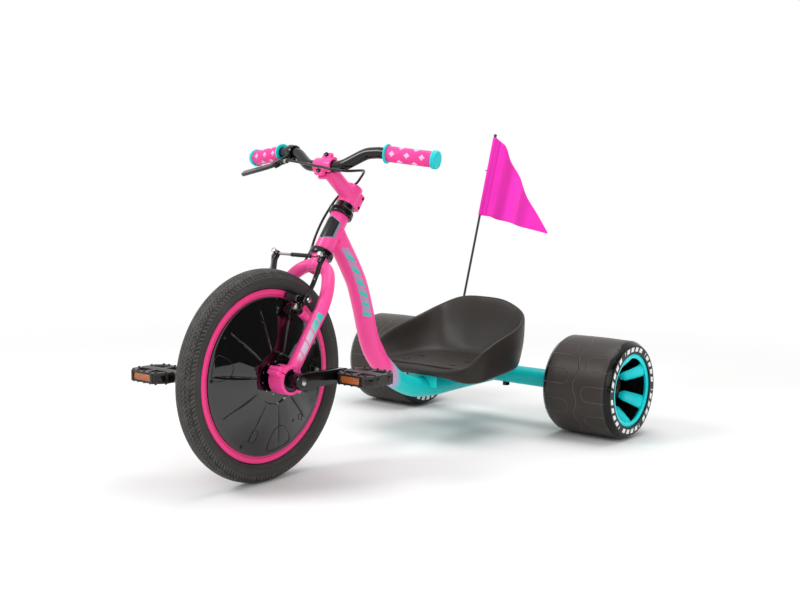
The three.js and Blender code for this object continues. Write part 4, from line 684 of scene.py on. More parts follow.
def coverScrews(bm, size):
    for radius, degrees in screwPlaces:
        head = lathe([(0, 0), (0, 3.2), (1.2, 3.0), (2.0, 1.6), (2.2, 0)], 14)
        addPart(bm, head, shift(onCover(size, radius, math.radians(180 - degrees), -0.2)), 2)
    for k in range(10):
        turn = k * turnOnce / 10 + 0.2
        head = lathe([(0, 0), (0, 1.7), (0.8, 1.4), (1.1, 0)], 10)
        addPart(bm, head, shift((size.flat + size.wall, 30 * math.cos(turn), 30 * math.sin(turn))), 1)


makeTyre(tyreSize)
makeRim(rimSize)
dress("front_hub", "black")


# The cap over the crank's root, as distance out and radius
crankCap = [(105.6, 0), (105.6, 10.5), (107.2, 10), (107.2, 8.2), (106.4, 8), (106.4, 0)]


def makeCrankBolt(word):
    bm = lathe(crankCap, 32)
    addPart(bm, rod(6.4, 106, 108.4, "x", 6, 0.5), None, 1)
    makePiece(f"crankBolt{word.title()}", bm, wheelFrame @ sides[word], "front_wheel",
              ["black", "steel"])


for word in sides:
    makeCover(word, coverSize)
    dress(f"crank_{word}", "black", 0.0012)
    dress(f"front_bearing_{word}", "black")
for word in sides:
    makeCrankBolt(word)
print("front wheel made")

# Pedals: studs, ribs and reflector frames over the CAD platform, and black window plates that are painted
# shade for the openings
studSize = Values(
    radius=2.1, height=2.2, thickness=20, end=46, face=42, windowSide=15.5, windowHalf=3.5, windowRise=5.5,
    frameSide=26.4, frameHalf=3.4, frameRise=9.4, railHalf=24, railRise=8.4, cornerGap=3,
)
studRows = [(-41, 15), (-31, 36), (-17, 37), (0, 37), (17, 37), (31, 36), (41, 20)]
# The cut corners, from the long side to the end: the outer end first, then the crank's
pedalCorners = [((30.4, 42), (46, 26)), ((-30.4, 42), (-46, 21))]


def makeStuds(word, size):
    bm = bmesh.new()
    half = size.thickness / 2
    for x, y, up in [(x, side * y, up) for x, y in studRows for side in (1, -1) for up in (-1, 1)]:
        stud = rod(size.radius, half - 0.5, half + size.height, "z", 10, 0.3)
        addPart(bm, stud, shift((x, y, 0)) @ Matrix.Diagonal((1, 1, up, 1)))
    # Painted shade: thin black plates on the pedal's ends stand in for the dark inside of the windows
    for x in (-size.end, size.end):
        for y in (-size.windowSide, size.windowSide):
            low = (x - 0.4, y - size.windowHalf, -size.windowRise)
            addPart(bm, block(low, (x + 0.4, y + size.windowHalf, size.windowRise), 0.2), None, 1)
    for y in (-size.face, size.face):
        for x in (-size.frameSide, size.frameSide):
            low = (x - size.frameHalf, y - 1, -size.frameRise)
            addPart(bm, block(low, (x + size.frameHalf, y + 0.9, size.frameRise), 0.4))
        for z in (-size.railRise, size.railRise):
            addPart(bm, block((-size.railHalf, y - 1, z - 1), (size.railHalf, y + 0.9, z + 1), 0.4))
    # Painted shade: thin black strips on the cut corners stand in for the dark inside of the windows there
    outward = 1 if word == "left" else -1
    for (startX, startY), (endX, endY) in pedalCorners:
        for way in (-1, 1):
            near = Vector((outward * startX, way * startY, 0))
            far = Vector((outward * endX, way * endY, 0))
            reach = (far - near).length / 2 - size.cornerGap
            turn = math.atan2(far.y - near.y, far.x - near.x)
            at = shift((near + far) / 2) @ Matrix.Rotation(turn, 4, "Z")
            low = (-reach, -0.4, -size.windowRise)
            addPart(bm, block(low, (reach, 0.4, size.windowRise), 0.2), at, 1)
    place = frameAt(middleOf(f"pedal_{word}"))
    makePiece(f"pedalStuds{word.title()}", bm, place, f"pedal_{word}", ["satin", "black"])


for word in sides:
    makeStuds(word, studSize)
    dress(f"pedal_{word}", "resin", 0.0008)
    for place in ("front", "rear"):
        dress(f"reflector_{word}_{place}", "amber", 0.0004)
print("pedals made")

# Fork, with its split axle clamps and brake posts
legSize = Values(
    radius=12.75, clampInner=43, clampOuter=78, housing=27, bore=21, earReach=11, ear=8,
    split=0.15, post=5, boss=7, seat=8, seam=24.2, postSide=40, postHeight=130, postEnd=-39.8, seatEnd=-22.7,
)
# The brake post's head, and a clamp's bolt
postHead = [(-43.8, 0), (-43.8, 5.2), (-42.9, 6.8), (-39.8, 7)]
clampBolt = [(3, -4, 10, 16, 0.2, 1), (5, 8.3, 12.3, 20, 0.7, 1)]
legPlaces = [(66, 0, 16), (66, 0, 120), (66, 0, 158), (55, 0, 201), (36, 0, 233), (12, 0, 245), (-12, 0, 245)]


def clampHalf(bm, size, up):
    whole = ring(size.clampInner, size.clampOuter, size.bore, size.housing, 64, bevel=1.2, segments=3)
    addPart(bm, keepSide(whole, (0, 0, up * size.split), (0, 0, -up)))
    reach = size.housing + size.earReach
    for way in (-1, 1):
        near, far = sorted((way * (size.housing - 3), way * reach))
        low, high = sorted((up * size.split, up * size.ear))
        addPart(bm, block((size.clampInner + 4, near, low), (size.clampOuter - 4, far, high), 1.6, 3))


def makeLeg(word, size):
    bm = bmesh.new()
    tube = sweep(smoothPath(legPlaces, 10), size.radius, 40)
    addPart(bm, keepSide(tube, (0.15, 0, 0), (-1, 0, 0)))
    clampHalf(bm, size, 1)
    addPart(bm, sweep([(60, 0, 120), (size.postSide, -8, size.postHeight)], size.boss, 20))
    at = shift((size.postSide, 0, size.postHeight))
    addPart(bm, rod(size.seat, size.seatEnd, 0, "y", 24), at)
    addPart(bm, rod(size.post, size.postEnd, -8, "y", 20), at, 1)
    addPart(bm, lathe(postHead, 24, "y"), at, 1)
    addPart(bm, rod(2.4, -44.2, -43, "y", 6, 0.1), at, 2)
    makePiece(f"forkLeg{word.title()}", bm, steeringFrame @ sides[word], "fork",
              ["striped", "steel", "black"], [f"fork_leg_{word}"])


def makeClamp(word, size):
    bm = bmesh.new()
    clampHalf(bm, size, -1)
    reach = size.housing + size.earReach / 2
    middle = (size.clampInner + size.clampOuter) / 2
    for way in (-1, 1):
        low = (size.clampInner + 0.2, way * size.seam - 3.1, -0.7)
        high = (size.clampOuter + 0.12, way * size.seam + 3.1, 0.7)
        addPart(bm, block(low, high, 0), None, 1)
        addRods(bm, clampBolt, shift((middle, way * reach, 0)), "z")
    makePiece(f"axleClamp{word.title()}", bm, steeringFrame @ sides[word], "fork",
              ["pink", "black"], [f"axle_clamp_{word}"])


for word in sides:
    makeLeg(word, legSize)
    makeClamp(word, legSize)
dress("steerer", "pink")


# Headset rings, as height and radius from the bottom up, and the head tube
headsetBore = 14.8
headsetRings = {
    "lower_headset_cup": [(264.3, 22.6), (266, 24), (275.5, 24), (277, 22.8)],
    "upper_headset_cup": [(361, 22.8), (362.5, 24), (370.7, 24), (372, 22.6)],
    "headset_cover": [(372.3, 22.2), (373.4, 23.5), (377, 19.2), (378.6, 18.8), (387, 18.8)],
}


def makeHeadset():
    for name, outside in headsetRings.items():
        profile = [(outside[0][0], headsetBore), *outside, (outside[-1][0], headsetBore)]
        bm = lathe(profile, 64, "z", closed=True, bevel=0.35, limit=30)
        body = "fork" if name == "headset_cover" else "frame"
        first, *others = name.split("_")
        pieceName = first + "".join(other.title() for other in others)
        makePiece(pieceName, bm, steeringFrame, body, ["black"], [name], 30)
    tube = ring(277.3, 360.7, 16, 19, 64, "z", bevel=0.5)
    makePiece("headTube", tube, steeringFrame, "frame", ["shield"], ["head_tube"])


makeHeadset()
print("fork and headset made")

# Stem and its faceplate
stemSize = Values(
    bottom=387.3, top=430.3, radius=19, reach=92, barHeight=414.7, neck=15.5, barrel=16,
    barrelBore=11.6, barrelHalf=22, slot=5, earHalf=11, earStart=9, earTop=25, boltRise=11,
)
stemBolt = [(4.4, -17, -12.8, 18, 0.6, 1), (3.4, 12.8, 13.6, 6, 0.2, 1)]


# One half of the barrel round the bar, with its ears: way is 1 at the stem and -1 at the faceplate
def barrelHalf(bm, size, way, earReach):
    at = shift((0, -size.reach, size.barHeight))
    cut = way * size.slot / 2
    barrel = ring(-size.barrelHalf, size.barrelHalf, size.barrelBore, size.barrel, 56, bevel=1.2, segments=3)
    addPart(bm, keepSide(barrel, (0, cut, 0), (0, -way, 0)), at)
    near, far = sorted((cut, way * earReach))
    for low, high in ((-size.earTop, -size.earStart), (size.earStart, size.earTop)):
        addPart(bm, block((-size.earHalf, near, low), (size.earHalf, far, high), 1.6, 3), at)


def makeStem(size):
    bm = bmesh.new()
    middle = (size.bottom + size.top) / 2
    addPart(bm, rod(size.radius, size.bottom, size.top, "z", 56, 1.4))
    addPart(bm, rod(size.radius - 5, size.top - 0.5, size.top + 0.3, "z", 40, 0.2), None, 1)
    addPart(bm, block((-13, 4, size.bottom + 3), (13, size.radius + 10, size.top - 3), 3.2, 3))
    for left, right in ((-1.25, -0.25), (0.25, 1.25)):
        low = (left, size.radius - 3, size.bottom + 2.6)
        addPart(bm, block(low, (right, size.radius + 10.1, size.top - 2.6), 0), None, 1)
    for rise in (-size.boltRise, size.boltRise):
        addRods(bm, stemBolt, shift((0, size.radius + 5, middle + rise)), "x")
    neckEnd = Vector((0, -size.reach + 9, size.barHeight - 0.6))
    neckStart = Vector((0, -4, middle))
    path = [neckStart.lerp(neckEnd, k / 8) for k in range(9)]
    radii = [size.neck + 1.8, size.neck + 1.2] + [size.neck] * 5 + [size.neck - 0.4, size.neck - 1]
    addPart(bm, sweep(path, radii, 48))
    barrelHalf(bm, size, 1, 10)
    makePiece("stemBody", bm, steeringFrame, "fork", ["pink", "black"], ["stem"])


def makeFaceplate(size):
    bm = bmesh.new()
    barrelHalf(bm, size, -1, 10.5)
    makePiece("stemFaceplate", bm, steeringFrame, "fork", ["pink"], ["stem_faceplate"])


makeStem(stemSize)
makeFaceplate(stemSize)
for up in ("upper", "lower"):
    dress(f"faceplate_bolt_{up}", "black", 0.0006)

# Handlebar, grips and plugs
barSize = Values(radius=11.1, shoulder=(120, -92.95, 446.8), end=(228, -66.6, 452))
barPlaces = [(0, -92, 414.7), (30, -92, 414.7), (46, -93.5, 416.5), (90, -94, 443), (108, -93.5, 446)]


def makeHandlebar(size):
    left = barPlaces + [size.shoulder]
    right = [(-x, y, z) for x, y, z in reversed(left[1:])]
    bend = smoothPath(right + left, 8)
    end = Vector(size.end)
    path = [Vector((-end.x, end.y, end.z))] + bend + [end]
    tube = sweep(path, size.radius, 36)
    makePiece("handlebarTube", tube, steeringFrame, "fork", ["black"], ["handlebar"])


gripSize = Values(
    length=97, radius=15, bore=11.9, flange=18.5, flangeWidth=4, plug=17.5,
    markLength=13, markWidth=9, markHeight=0.9, markStart=14, markStep=31,
)


def gripFrame(word):
    end = Vector(barSize.end)
    along = (end - Vector(barSize.shoulder)).normalized()
    turn = along.to_track_quat("Z", "Y").to_matrix().to_4x4()
    return steeringFrame @ sides[word] @ shift(end) @ turn


def makeGrip(word, size):
    place = gripFrame(word)
    length, collar = size.length, size.flangeWidth - size.length
    bm = bmesh.new()
    addPart(bm, ring(collar, 0, size.bore, size.radius, 56, "z", bevel=0.8))
    flange = ring(-length, collar, size.bore, size.flange, 56, "z", bevel=1.4, segments=3)
    addPart(bm, flange, None, 1)
    for row in range(6):
        for k in range(3 - row % 2):
            along = collar + size.markStart + (k + (row % 2) / 2) * size.markStep
            mark = bmesh.new()
            bmesh.ops.create_cone(mark, cap_ends=True, segments=4, radius1=1, radius2=0.62, depth=1)
            stretch = Matrix.Diagonal((size.markWidth / 1.6, size.markLength / 1.6, size.markHeight * 2, 1))
            spot = Matrix.Rotation(row * turnOnce / 6, 4, "Z") @ shift((0, size.radius, along))
            addPart(bm, mark, spot @ Matrix.Rotation(-math.pi / 2, 4, "X") @ stretch, 2)
    makePiece(f"grip{word.title()}", bm, place, "fork", ["grip", "plug", "gripMark"],
              [f"grip_{word}"], 30)
    plug = lathe([
        (-22, 0), (-22, 8.3), (0.3, 8.3), (0.3, size.plug - 0.6), (1.2, size.plug), (7, size.plug),
        (9.6, size.plug - 1.1), (10.8, size.plug - 3.6), (11, size.plug - 6), (10.4, size.plug - 8),
        (10.4, 0),
    ], 56, "z")
    makePiece(f"barPlug{word.title()}", plug, place, "fork", ["plug"],
              [f"bar_plug_{word}"], 34)


makeHandlebar(barSize)
for word in sides:
    makeGrip(word, gripSize)
print("bar and grips made")

# Brake: lever, cable, arms and pads
dress("lever_bracket", "black", 0.001, 55)
dress("brake_lever", "satin", 0.0012, 55)
dress("barrel_adjuster", "pewter", 0.0003)
dress("brake_noodle", "pewter", 0.0003)

armSize = Values(
    rod=2.6, apart=2.9, boss=8.2, bore=5.4, bossStart=-39.3, bossEnd=-23.2, pivotSide=40, pivotHeight=129.97,
    anchor=5, anchorSide=59.5, anchorBack=-50, anchorHeight=236,
)
# The holder for the pad's stud and the head under the anchor: two corners and a bevel
armBlocks = [((38.7, -34.5, 143), (51.3, -23.8, 163), 3.2), ((55, -55, 222), (64, -45, 228.8), 1.2)]
armPlaces = [
    (40, -29, 130), (40.6, -29.4, 144), (45, -30.5, 160), (51, -33.5, 178), (56, -41, 203),
    (58.6, -47.4, 221), (59.4, -49.4, 229),
]


def makeArm(word, size):
    bm = bmesh.new()
    path = smoothPath(armPlaces, 6)
    for way in (-1, 1):
        addPart(bm, sweep([place + Vector((way * size.apart, 0, 0)) for place in path], size.rod, 14))
    for share in (0.1, 0.36, 0.62):
        x, y, z = path[round(share * (len(path) - 1))]
        addPart(bm, block((x - 3.2, y - 2.2, z - 5), (x + 3.2, y + 2.2, z + 5), 0.8))
    boss = ring(size.bossStart, size.bossEnd, size.bore, size.boss, 28, "y", bevel=0.7)
    addPart(bm, boss, shift((size.pivotSide, 0, size.pivotHeight)))
    for low, high, bevel in armBlocks:
        addPart(bm, block(low, high, bevel, 3))
    cheeks = [(-55, -51.8), (-48.2, -45)] if word == "left" else [(-55, -45)]
    for start, end in cheeks:
        addPart(bm, block((55, start, 224), (64, end, 241), 0.8, 3))
    at = shift((size.anchorSide, 0, size.anchorHeight))
    addPart(bm, rod(size.anchor, -64, -54.5, "y", 6 if word == "left" else 20, 0.7), at, 1)
    makePiece(f"brakeArm{word.title()}", bm, steeringFrame @ sides[word], f"brake_arm_{word}",
              ["black", "steel"], [f"brake_arm_{word}"])


for word in sides:
    makeArm(word, armSize)

cableSize = Values(
    radius=2.5, leverStart=(-104.5, -93.6, 445.4), barrelDown=30, lean=17.5, bendStart=(-50, 10, 260),
    bendEnd=(-80, -8, 210), end=(-77, -31, 212), guide=(-75, -36, 220),
)
cablePlaces = [
    (-54, -108.5, 410.5), (-20, -113.5, 402), (18, -116, 395), (44, -113, 392), (62, -95, 402),
    (66, -67, 424), (50, -42, 440), (26, -20, 441), (-1, 0, 439), (-16, 3, 437.5), (-28, 5, 426),
    (-35, 2, 400), (-36.5, -3, 350), (-37, -1, 312), (-45, 12, 280), (-60, 20, 248), (-80, 18, 215),
    (-88, 2, 194), (-82, -20, 198),
]


def makeCable(size):
    along = (Vector(barSize.end) - Vector(barSize.shoulder)).normalized()
    along.x *= -1
    lean = math.radians(size.lean)
    down = Vector((0, -math.sin(lean), -math.cos(lean)))
    down = (down - along * down.dot(along)).normalized()
    middle = Vector(size.leverStart) + down * size.barrelDown
    start, clear = (middle + along * reach for reach in (-8.3, -20))
    end = Vector(size.end)
    back = (end - Vector(size.guide)).normalized()
    path = smoothPath([start, clear, *cablePlaces, end + back * 13, end + back * 0.3], 8)
    bend = [steeringFrame @ Vector(place) for place in (size.bendStart, size.bendEnd)]
    makePiece("cableHousing", sweep(path, size.radius, 16), steeringFrame, ("fork", "brake_arm_right", *bend),
              ["jacket"], ["cable_housing"])


padSize = Values(face=15, thickness=9, inner=150, outer=161, angle=19, height=152.77, back=-29)
padStud = [
    (7.5, 22, 29.5, 24, 0.6, 1), (7.0, 30.2, 38.2, 24, 1.0, 2), (3, 29, 55.8, 16, 0.2, 1),
    (5.5, 51.8, 57.8, 6, 0.5, 1),
]


def makePad(word, size):
    bm = bmesh.new()
    angle = math.radians(size.angle)
    curved = ring(size.face, size.face + size.thickness, size.inner, size.outer, 10, angle=angle)
    bmesh.ops.holes_fill(curved, edges=[edge for edge in curved.edges if edge.is_boundary], sides=0)
    bevelSharp(curved, 1.2, 3, 50)
    middle = math.atan2(-size.back, size.height)
    addPart(bm, curved, Matrix.Rotation(middle - angle / 2, 4, "X"))
    addRods(bm, padStud, shift((0, size.back, size.height)), "x")
    makePiece(f"brakePad{word.title()}", bm, steeringFrame @ sides[word], f"brake_arm_{word}",
              ["rubber", "steel", "black"], [f"brake_pad_{word}"])


bootSize = Values(start=-21.7, end=30, ribs=9, valley=3.0, ridge=4.1, wire=0.9, wireEnd=53.6)


def makeBoot(size):
    profile = [(size.start, 0)]
    pitch = (size.end - size.start) / size.ribs
    for k in range(size.ribs):
        steps = ((k, size.valley), (k + 0.3, size.ridge), (k + 0.7, size.ridge))
        profile += [(size.start + step * pitch, radius) for step, radius in steps]
    profile += [(size.end, 2.8), (size.end + 1, size.wire), (size.wireEnd, size.wire), (size.wireEnd, 0)]
    boot = lathe(profile, 20, "x")
    place = steeringFrame @ shift((0, armSize.anchorBack, armSize.anchorHeight))
    makePiece("cableBoot", boot, place, "brake_arm_right", ["rubber"], ["cable_boot"], 60)


makeCable(cableSize)
for word in sides:
    makePad(word, padSize)
makeBoot(bootSize)
print("brake made")

# Frame: graded main tube, beam and their bolted joint
spinePlaces = [
    (196.5, 462.6), (208, 445), (265, 358), (284, 308), (299, 258), (315, 217), (334, 191), (368, 157),
    (393, 140), (428, 123), (456, 114), (515, 107), (621, 108), (762, 108),
]
frameSize = Values(
    radius=20.72, bore=18.65, wheelbase=762, axle=108, beamHalf=190, cutHeight=200, cutBack=15.5, nutSide=35,
)
beamNut = [(9, -28, -18.4, 6, 0.6, 0), (4.4, -29, -27.5, 16, 0.6, 0), (7.9, 24.2, 29.8, 20, 1.6, 0)]


def makeFrame(size):
    path = smoothPath([(0, y, z) for y, z in spinePlaces], 8)
    tube = sweep([place for place in path if place.y < size.wheelbase - 12], size.radius, 56)
    forward = Vector((0, -math.cos(steeringTilt), math.sin(steeringTilt)))
    keepSide(tube, Vector((0, 0, size.cutHeight)) - forward * size.cutBack, forward)
    makePiece("mainTube", tube, trikeFrame, "frame", ["graded"])
    beam = ring(-size.beamHalf, size.beamHalf, size.bore, size.radius, 64, bevel=0.6)
    place = trikeFrame @ shift((0, size.wheelbase, size.axle))
    makePiece("rearBeam", beam, place, "frame", ["teal"])


makeFrame(frameSize)
dress("main_tube", "graded")
dress("rear_beam", "teal", 0.0006)
dress("seat_bracket", "teal", 0.0006)


def makeBeamNuts(size):
    bm = bmesh.new()
    for x in (-size.nutSide, size.nutSide):
        addRods(bm, beamNut, shift((x, size.wheelbase, size.axle)), "z")
    makePiece("beamNuts", bm, trikeFrame, "frame", ["black"])


makeBeamNuts(frameSize)
dress("flag_socket", "pole", 0.0006)
for word in sides:
    dress(f"rear_axle_{word}", "black", 0.0008)
    dress(f"rear_bearings_{word}", "black")
print("frame made")

# Bucket seat, from rings of points that are bridged and smoothed
seatSize = Values(
    halfWidth=151, front=471, length=246, floor=162, rise=126, centre=590, wall=4, lip=9, underLip=6.5,
    crown=2.2, lipDrop=5, webDrop=10, push=2.4, bulge=5, count=64, boltSide=63, boltRows=(511, 565),
)
seatRimShares = [
    (0, 0, -0.032), (0.563, 0.004, -0.04), (0.828, 0.037, 0.04), (0.974, 0.138, 0.27), (1, 0.362, 0.429),
    (0.96, 0.728, 0.595), (0.795, 0.943, 0.778), (0.43, 1, 0.96), (0, 0.996, 1),
]
seatFloorShares = [
    (0, 0.037, 0), (0.497, 0.037, 0), (0.649, 0.061, 0), (0.715, 0.138, 0), (0.728, 0.321, 0),
    (0.662, 0.565, 0), (0.497, 0.707, 0), (0.252, 0.768, 0), (0, 0.785, 0),
]
seatSkirtShares = [
    (0, 0.012, -0.183), (0.464, 0.016, -0.198), (0.781, 0.045, -0.246), (0.914, 0.138, -0.246),
    (0.947, 0.362, -0.2), (0.92, 0.687, -0.15), (0.76, 0.882, -0.09), (0.4, 0.943, 0), (0, 0.947, 0.04),
]


# The same points pushed out from the seat's middle and lowered
def outwards(size, points, push, drop):
    moved = []
    for place in points:
        out = Vector((place.x, place.y - size.centre, 0)).normalized()
        moved.append(place + out * push - Vector((0, 0, drop)))
    return moved


def seatRing(size, shares, inward, down):
    places = []
    for side, back, up in shares:
        height = size.floor + up * size.rise
        places.append(Vector((side * size.halfWidth, size.front + back * size.length, height)))
    places = outwards(size, places, -inward, down)
    left = [Vector((-place.x, place.y, place.z)) for place in reversed(places[1:-1])]
    return smoothPath(places + left, size.count // 16, closed=True)


def mixRings(first, second, share, climb):
    shares = Vector((share, share, climb))
    return [a + (b - a) * shares for a, b in zip(first, second)]


# From the floor out and up to the rim, then a bolt's head and its shank with the nut
bowlShares = [(0.16, 0.05), (0.35, 0.2), (0.53, 0.375), (0.7, 0.55), (0.86, 0.79)]
seatBoltHead = [(160, 0), (160, 7.4), (162.9, 7.4), (163.2, 6.8), (162.6, 4.2), (160.8, 3.6), (160.8, 0)]
seatBolt = [(4, 147, 161, 16, 0.5, 0), (7.5, 149.4, 154.4, 6, 0.5, 0)]


def makeSeat(size):
    floor = seatRing(size, seatFloorShares, 0, 0)
    rimInner = seatRing(size, seatRimShares, size.lip, 0)
    crest = seatRing(size, seatRimShares, size.lip * 0.6, -size.crown)
    brow = seatRing(size, seatRimShares, size.lip * 0.2, -size.crown * 0.6)
    rimOuter = seatRing(size, seatRimShares, 0, size.lipDrop / 2)
    skirt = seatRing(size, seatSkirtShares, 0, 0)
    skirtInner = seatRing(size, seatSkirtShares, size.wall, 0)
    underRim = seatRing(size, seatRimShares, size.underLip, size.webDrop)
    middle = Vector((0, size.front + size.length * 0.42, size.floor))
    flat = [[middle.lerp(place, share) for place in floor] for share in (0.25, 0.75)]
    bowl = [mixRings(floor, rimInner, *shares) for shares in bowlShares]
    under = [outwards(size, points, size.push, size.wall) for points in reversed(bowl[1::2])]
    flatUnder = [outwards(size, floor, 2.5, size.wall)]
    flatUnder += [[place - Vector((0, 0, size.wall)) for place in points] for points in (flat[1], flat[0])]
    side = [outwards(size, mixRings(rimOuter, skirt, share, share), push, 0)
            for share, push in ((0.2, 2.2), (0.5, size.bulge), (0.85, 2))]
    rings = flat + [floor] + bowl + [rimInner, crest, brow, rimOuter] + side
    rings += [skirt, skirtInner, mixRings(skirtInner, underRim, 0.5, 0.5), underRim] + under + flatUnder
    shell = bridgeRings(rings)
    seat = makePiece("seatShell", shell, trikeFrame, "seat", ["seat"], ["seat_shell"], 180)
    smooth = seat.modifiers.new("smooth", "SUBSURF")
    smooth.levels = smooth.render_levels = 1
    bolts = bmesh.new()
    for x in (-size.boltSide, size.boltSide):
        for y in size.boltRows:
            at = shift((x, y, 0))
            addPart(bolts, lathe(seatBoltHead, 28, "z"), at)
            addRods(bolts, seatBolt, at, "z")
    makePiece("seatBolts", bolts, trikeFrame, "seat", ["satin"])


makeSeat(seatSize)
print("seat made")

# Rear wheels: sleeve and deep-dish hub, drawn for the left side about the wheel's middle
sleeveSize = Values(half=83, bore=80, bevel=99, bevelLength=12, shoulder=106.8, radius=108)
hubSize = Values(
    low=-80, high=80, outer=79.7, inner=73.7, lip=70.2, lipWidth=8, lipDepth=3, barrel=22, barrelFront=19,
    web=-25, webWall=4, webBore=19, bore=13, spokeTop=77, halfTop=15, crown=5.5,
    wall=9, spokes=6,
)


def makeSleeve(word, size):
    half = size.half
    turned = half - size.bevelLength
    right = [
        (half, size.bore), (half, size.bevel - 1.2), (half - 0.9, size.bevel + 0.2),
        (turned + 1, size.shoulder - 0.7), (turned - 1.4, size.shoulder + 0.1),
        (half * 0.6, size.radius - 0.75), (half * 0.3, size.radius - 0.2), (0, size.radius),
    ]
    inside = [(half - 12, 100.5), (half - 6, 94), (half - 6, size.bore)]
    bm = lathe(right + mirrored(right[:-1]) + mirrored(inside) + inside, 128, closed=True)
    makePiece(f"rearSleeve{word.title()}", bm, frameAt(rearCentres[word]), f"rear_wheel_{word}",
              [f"sleeve{word}"], [f"rear_tyre_{word}"], 24)


# A spoke's convex section at one radius
def spokeRing(size, along, radius, half):
    crown = size.crown
    right = [
        (along, half * 0.3), (along - crown * 0.35, half * 0.72), (along - crown, half),
        (along - size.wall, half),
    ]
    left = [(x, -y) for x, y in reversed(right)]
    return [(x, y, radius) for x, y in left + right]


def makeHub(word, size):
    bm = bmesh.new()
    lipStart = size.high - size.lipWidth
    lip = [
        (lipStart, size.inner - 0.5), (lipStart, size.outer), (size.high, size.outer),
        (size.high, size.lip + 1), (size.high - 1, size.lip), (size.high - size.lipDepth, size.lip),
    ]
    addPart(bm, lathe(lip, 112, closed=True, bevel=0.5))
    addPart(bm, ring(size.low, lipStart, size.inner, size.outer, 96), None, 2)
    addPart(bm, ring(size.web, size.web + size.webWall, size.webBore, size.inner + 3, 64), None, 2)
    addPart(bm, ring(size.low, size.barrelFront, size.bore, size.barrel, 48, bevel=1.5), None, 1)
    cup = [(size.web, 24), (size.web, 46), (29, 46), (31, 44), (31, 36), (12, 30), (12, 24)]
    addPart(bm, lathe(cup, 64, closed=True, bevel=1), None, 1)
    for k in range(size.spokes):
        stations = [
            (size.spokeTop, size.inner + 2, size.halfTop + 1.5), (size.spokeTop - 1.5, 68, size.halfTop),
            (size.spokeTop - 14, 55, size.halfTop - 1.6), (size.spokeTop - 28, 43, size.halfTop - 3.2),
            (size.spokeTop - 32, 40.5, size.halfTop - 5.5), (size.spokeTop - 37, 39, size.halfTop - 9),
        ]
        spoke = bridgeRings([spokeRing(size, *station) for station in stations])
        bevelSharp(spoke, 1.4, 3, 50)
        addPart(bm, spoke, Matrix.Rotation(k * turnOnce / size.spokes, 4, "X"))
    place = frameAt(rearCentres[word]) @ sides[word]
    makePiece(f"rearHub{word.title()}", bm, place, f"rear_wheel_{word}",
              ["hub", "satin", "black"], [f"rear_hub_{word}"], 36)


for word in sides:
    makeSleeve(word, sleeveSize)
    makeHub(word, hubSize)
print("rear wheels made")

# Pole and its hanging pennant
poleSize = Values(side=-127, lean=17.4, floor=27, radius=2.8, length=583, cap=4, capLength=8)
flagSize = Values(
    low=375.5, high=574.5, sleeve=4.4, bore=3.2, tip=(45, 912, 427), fold=13, wave=6, ripple=7.5,
    columns=96, rows=36, thickness=0.5, tail=3,
)
poleFoot = Vector((poleSize.side, frameSize.wheelbase, frameSize.axle))
poleFrame = trikeFrame @ shift(poleFoot) @ Matrix.Rotation(-math.radians(poleSize.lean), 4, "X")


def makePole(size):
    length, cap = size.length, size.cap
    profile = [(size.floor, 0), (size.floor, size.radius), (length - size.capLength, size.radius)]
    for k in range(3, 11):
        turn = k * math.pi / 10
        profile.append((length - cap - cap * math.cos(turn), max(0, cap * math.sin(turn))))
    pole = lathe(profile, 28, "z")
    makePiece("flagPole", pole, poleFrame, "frame", ["pole"], ["flag_pole"], 50)
    clip = bmesh.new()
    at = shift((0, 0, flagSize.low + 0.57 * (flagSize.high - flagSize.low)))
    addPart(clip, block((-9, -1.6, -1.1), (-2, 1.6, 1.1), 0.4), at)
    makePiece("flagClip", clip, poleFrame, "frame", ["pole"])


def flagPlace(size, along, up):
    lean = math.radians(poleSize.lean)
    rise = Vector((0, math.sin(lean), math.cos(lean)))
    foot = poleFoot + Vector((size.sleeve - 0.6, 0, 0))
    low, high, tip = foot + rise * size.low, foot + rise * size.high, Vector(size.tip)
    top = high.lerp(tip, along) + Vector((0, 0, size.tail * along))
    place = low.lerp(tip, along).lerp(top, up)
    fade = math.sin(math.pi * min(1, along * 2)) * (1 if along < 0.5 else 0)
    place.y += math.sin(along * turnOnce) * size.fold * (1 - along) + fade * size.wave * up
    depth = size.ripple * min(1, along / 0.08) * (1 - along) ** 1.6
    sway = math.sin(along * turnOnce * 2.6 + 0.7 - up * 0.5) * depth
    return place + Vector((sway * 0.5, sway, 0))


def makeFlag(size):
    bm = bmesh.new()
    bmesh.ops.create_grid(bm, x_segments=size.columns, y_segments=size.rows, size=0.5)
    for vert in bm.verts:
        along, up = vert.co.x + 0.5, vert.co.y + 0.5
        place = flagPlace(size, min(along, 0.997), up)
        ripple = noise.noise(Vector((along * 5, up * 3, 4.0))) * 2.2 * along * (1 - along) * 2
        vert.co = place + Vector((0, ripple, 0))
    bmesh.ops.solidify(bm, geom=bm.faces[:], thickness=size.thickness)
    flag = makePiece("pennant", bm, trikeFrame, "frame", ["cloth"], ["flag"], 60)
    tube = ring(size.low, size.high, size.bore, size.sleeve, 28, "z", bevel=0.3)
    sleeve = makePiece("pennantSleeve", tube, poleFrame, "frame", ["cloth"])
    low, high = (flagPlace(size, 0, up) for up in (0, 1))


makePole(poleSize)
makeFlag(flagSize)
print("flag made")


# Floor, card, light and world
def makePlane(name, matrix, finish):
    bm = bmesh.new()
    bmesh.ops.create_grid(bm, x_segments=2, y_segments=2, size=0.5, matrix=matrix)
    return makeObject(name, bm, [finish.material])


# 1 for the rays that are named, 0 for all others
def raysOf(tree, *kinds):
    path = addNode(tree, "LightPath", {})
    seen, *others = [Field(tree, path.outputs[f"Is {kind} Ray"]) for kind in kinds]
    for other in others:
        seen = seen.atLeast(other)
    return seen


# The floor fades to plain white away from the trike
floorSize = Values(width=60, fadeStart=0.9, fadeEnd=2.2)


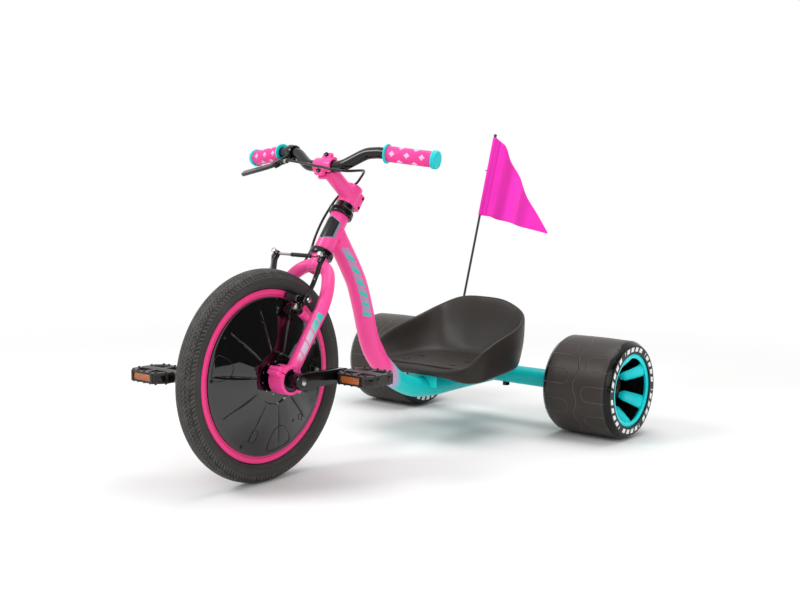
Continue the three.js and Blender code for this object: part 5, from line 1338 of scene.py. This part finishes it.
def makeFloor(size):
    finish = Finish("paleFloor", (0.90, 0.90, 0.895), 0.9, specular=0.1)
    tree = finish.tree
    glow = addNode(tree, "Emission", {"Color": (1, 1, 1, 1)})
    x, y, z = finish.place()
    fade = lengthOf(x, y).ramp(size.fadeStart, size.fadeEnd) * raysOf(tree, "Camera", "Glossy")
    mix = addNode(tree, "MixShader", {"Fac": fade.socket, 1: finish.shader.outputs[0], 2: glow.outputs[0]})
    tree.links.new(mix.outputs[0], tree.nodes["Material Output"].inputs["Surface"])
    floor = makePlane("floor", Matrix.Scale(size.width, 4), finish)


lampSetup = [
    Values(name="key", place=(-1.6, -2.6, 2.9), aim=(0, -0.1, 0.2), size=1.6, power=62),
    Values(name="fill", place=(2.6, -1.6, 1.6), aim=(0, 0, 0.25), size=2.0, power=20),
    Values(name="top", place=(0.2, 0.6, 3.0), aim=(0, 0, 0), size=2.4, power=42),
]


def makeLamps(setups):
    for setup in setups:
        light = bpy.data.lights.new(setup.name, "AREA")
        light.shape = "DISK"
        light.size = setup.size
        light.energy = setup.power
        place = Vector(setup.place)
        aim = (Vector(setup.aim) - place).to_track_quat("-Z", "Y")
        addObject(setup.name, light).matrix_world = shift(place) @ aim.to_matrix().to_4x4()


# A dark card that stands to the trike's left, which only reflections see
cardSize = Values(place=(3.2, 2.6, 2.0), height=3.98, length=10.5)


def makeCard(size):
    stand = shift(size.place) @ Matrix.Rotation(math.pi / 2, 4, "Y")
    matrix = stand @ Matrix.Diagonal((size.height, size.length, 1, 1))
    card = makePlane("darkCard", matrix, Finish("cardBlack", (0.01, 0.01, 0.01), 0.5))
    card.visible_camera = False
    card.visible_diffuse = False
    card.visible_shadow = False
    card.visible_transmission = False


def makeWorld():
    world = bpy.data.worlds.new("studio")
    bpy.context.scene.world = world
    world.use_nodes = True
    tree = world.node_tree
    strength = raysOf(tree, "Camera", "Glossy", "Transmission") * 0.42 + 0.58
    background = tree.nodes["Background"]
    background.inputs["Color"].default_value = (1, 1, 1, 1)
    tree.links.new(strength.socket, background.inputs["Strength"])


makeFloor(floorSize)
makeLamps(lampSetup)
makeCard(cardSize)
makeWorld()
print("stage made")

bpy.context.view_layer.update()
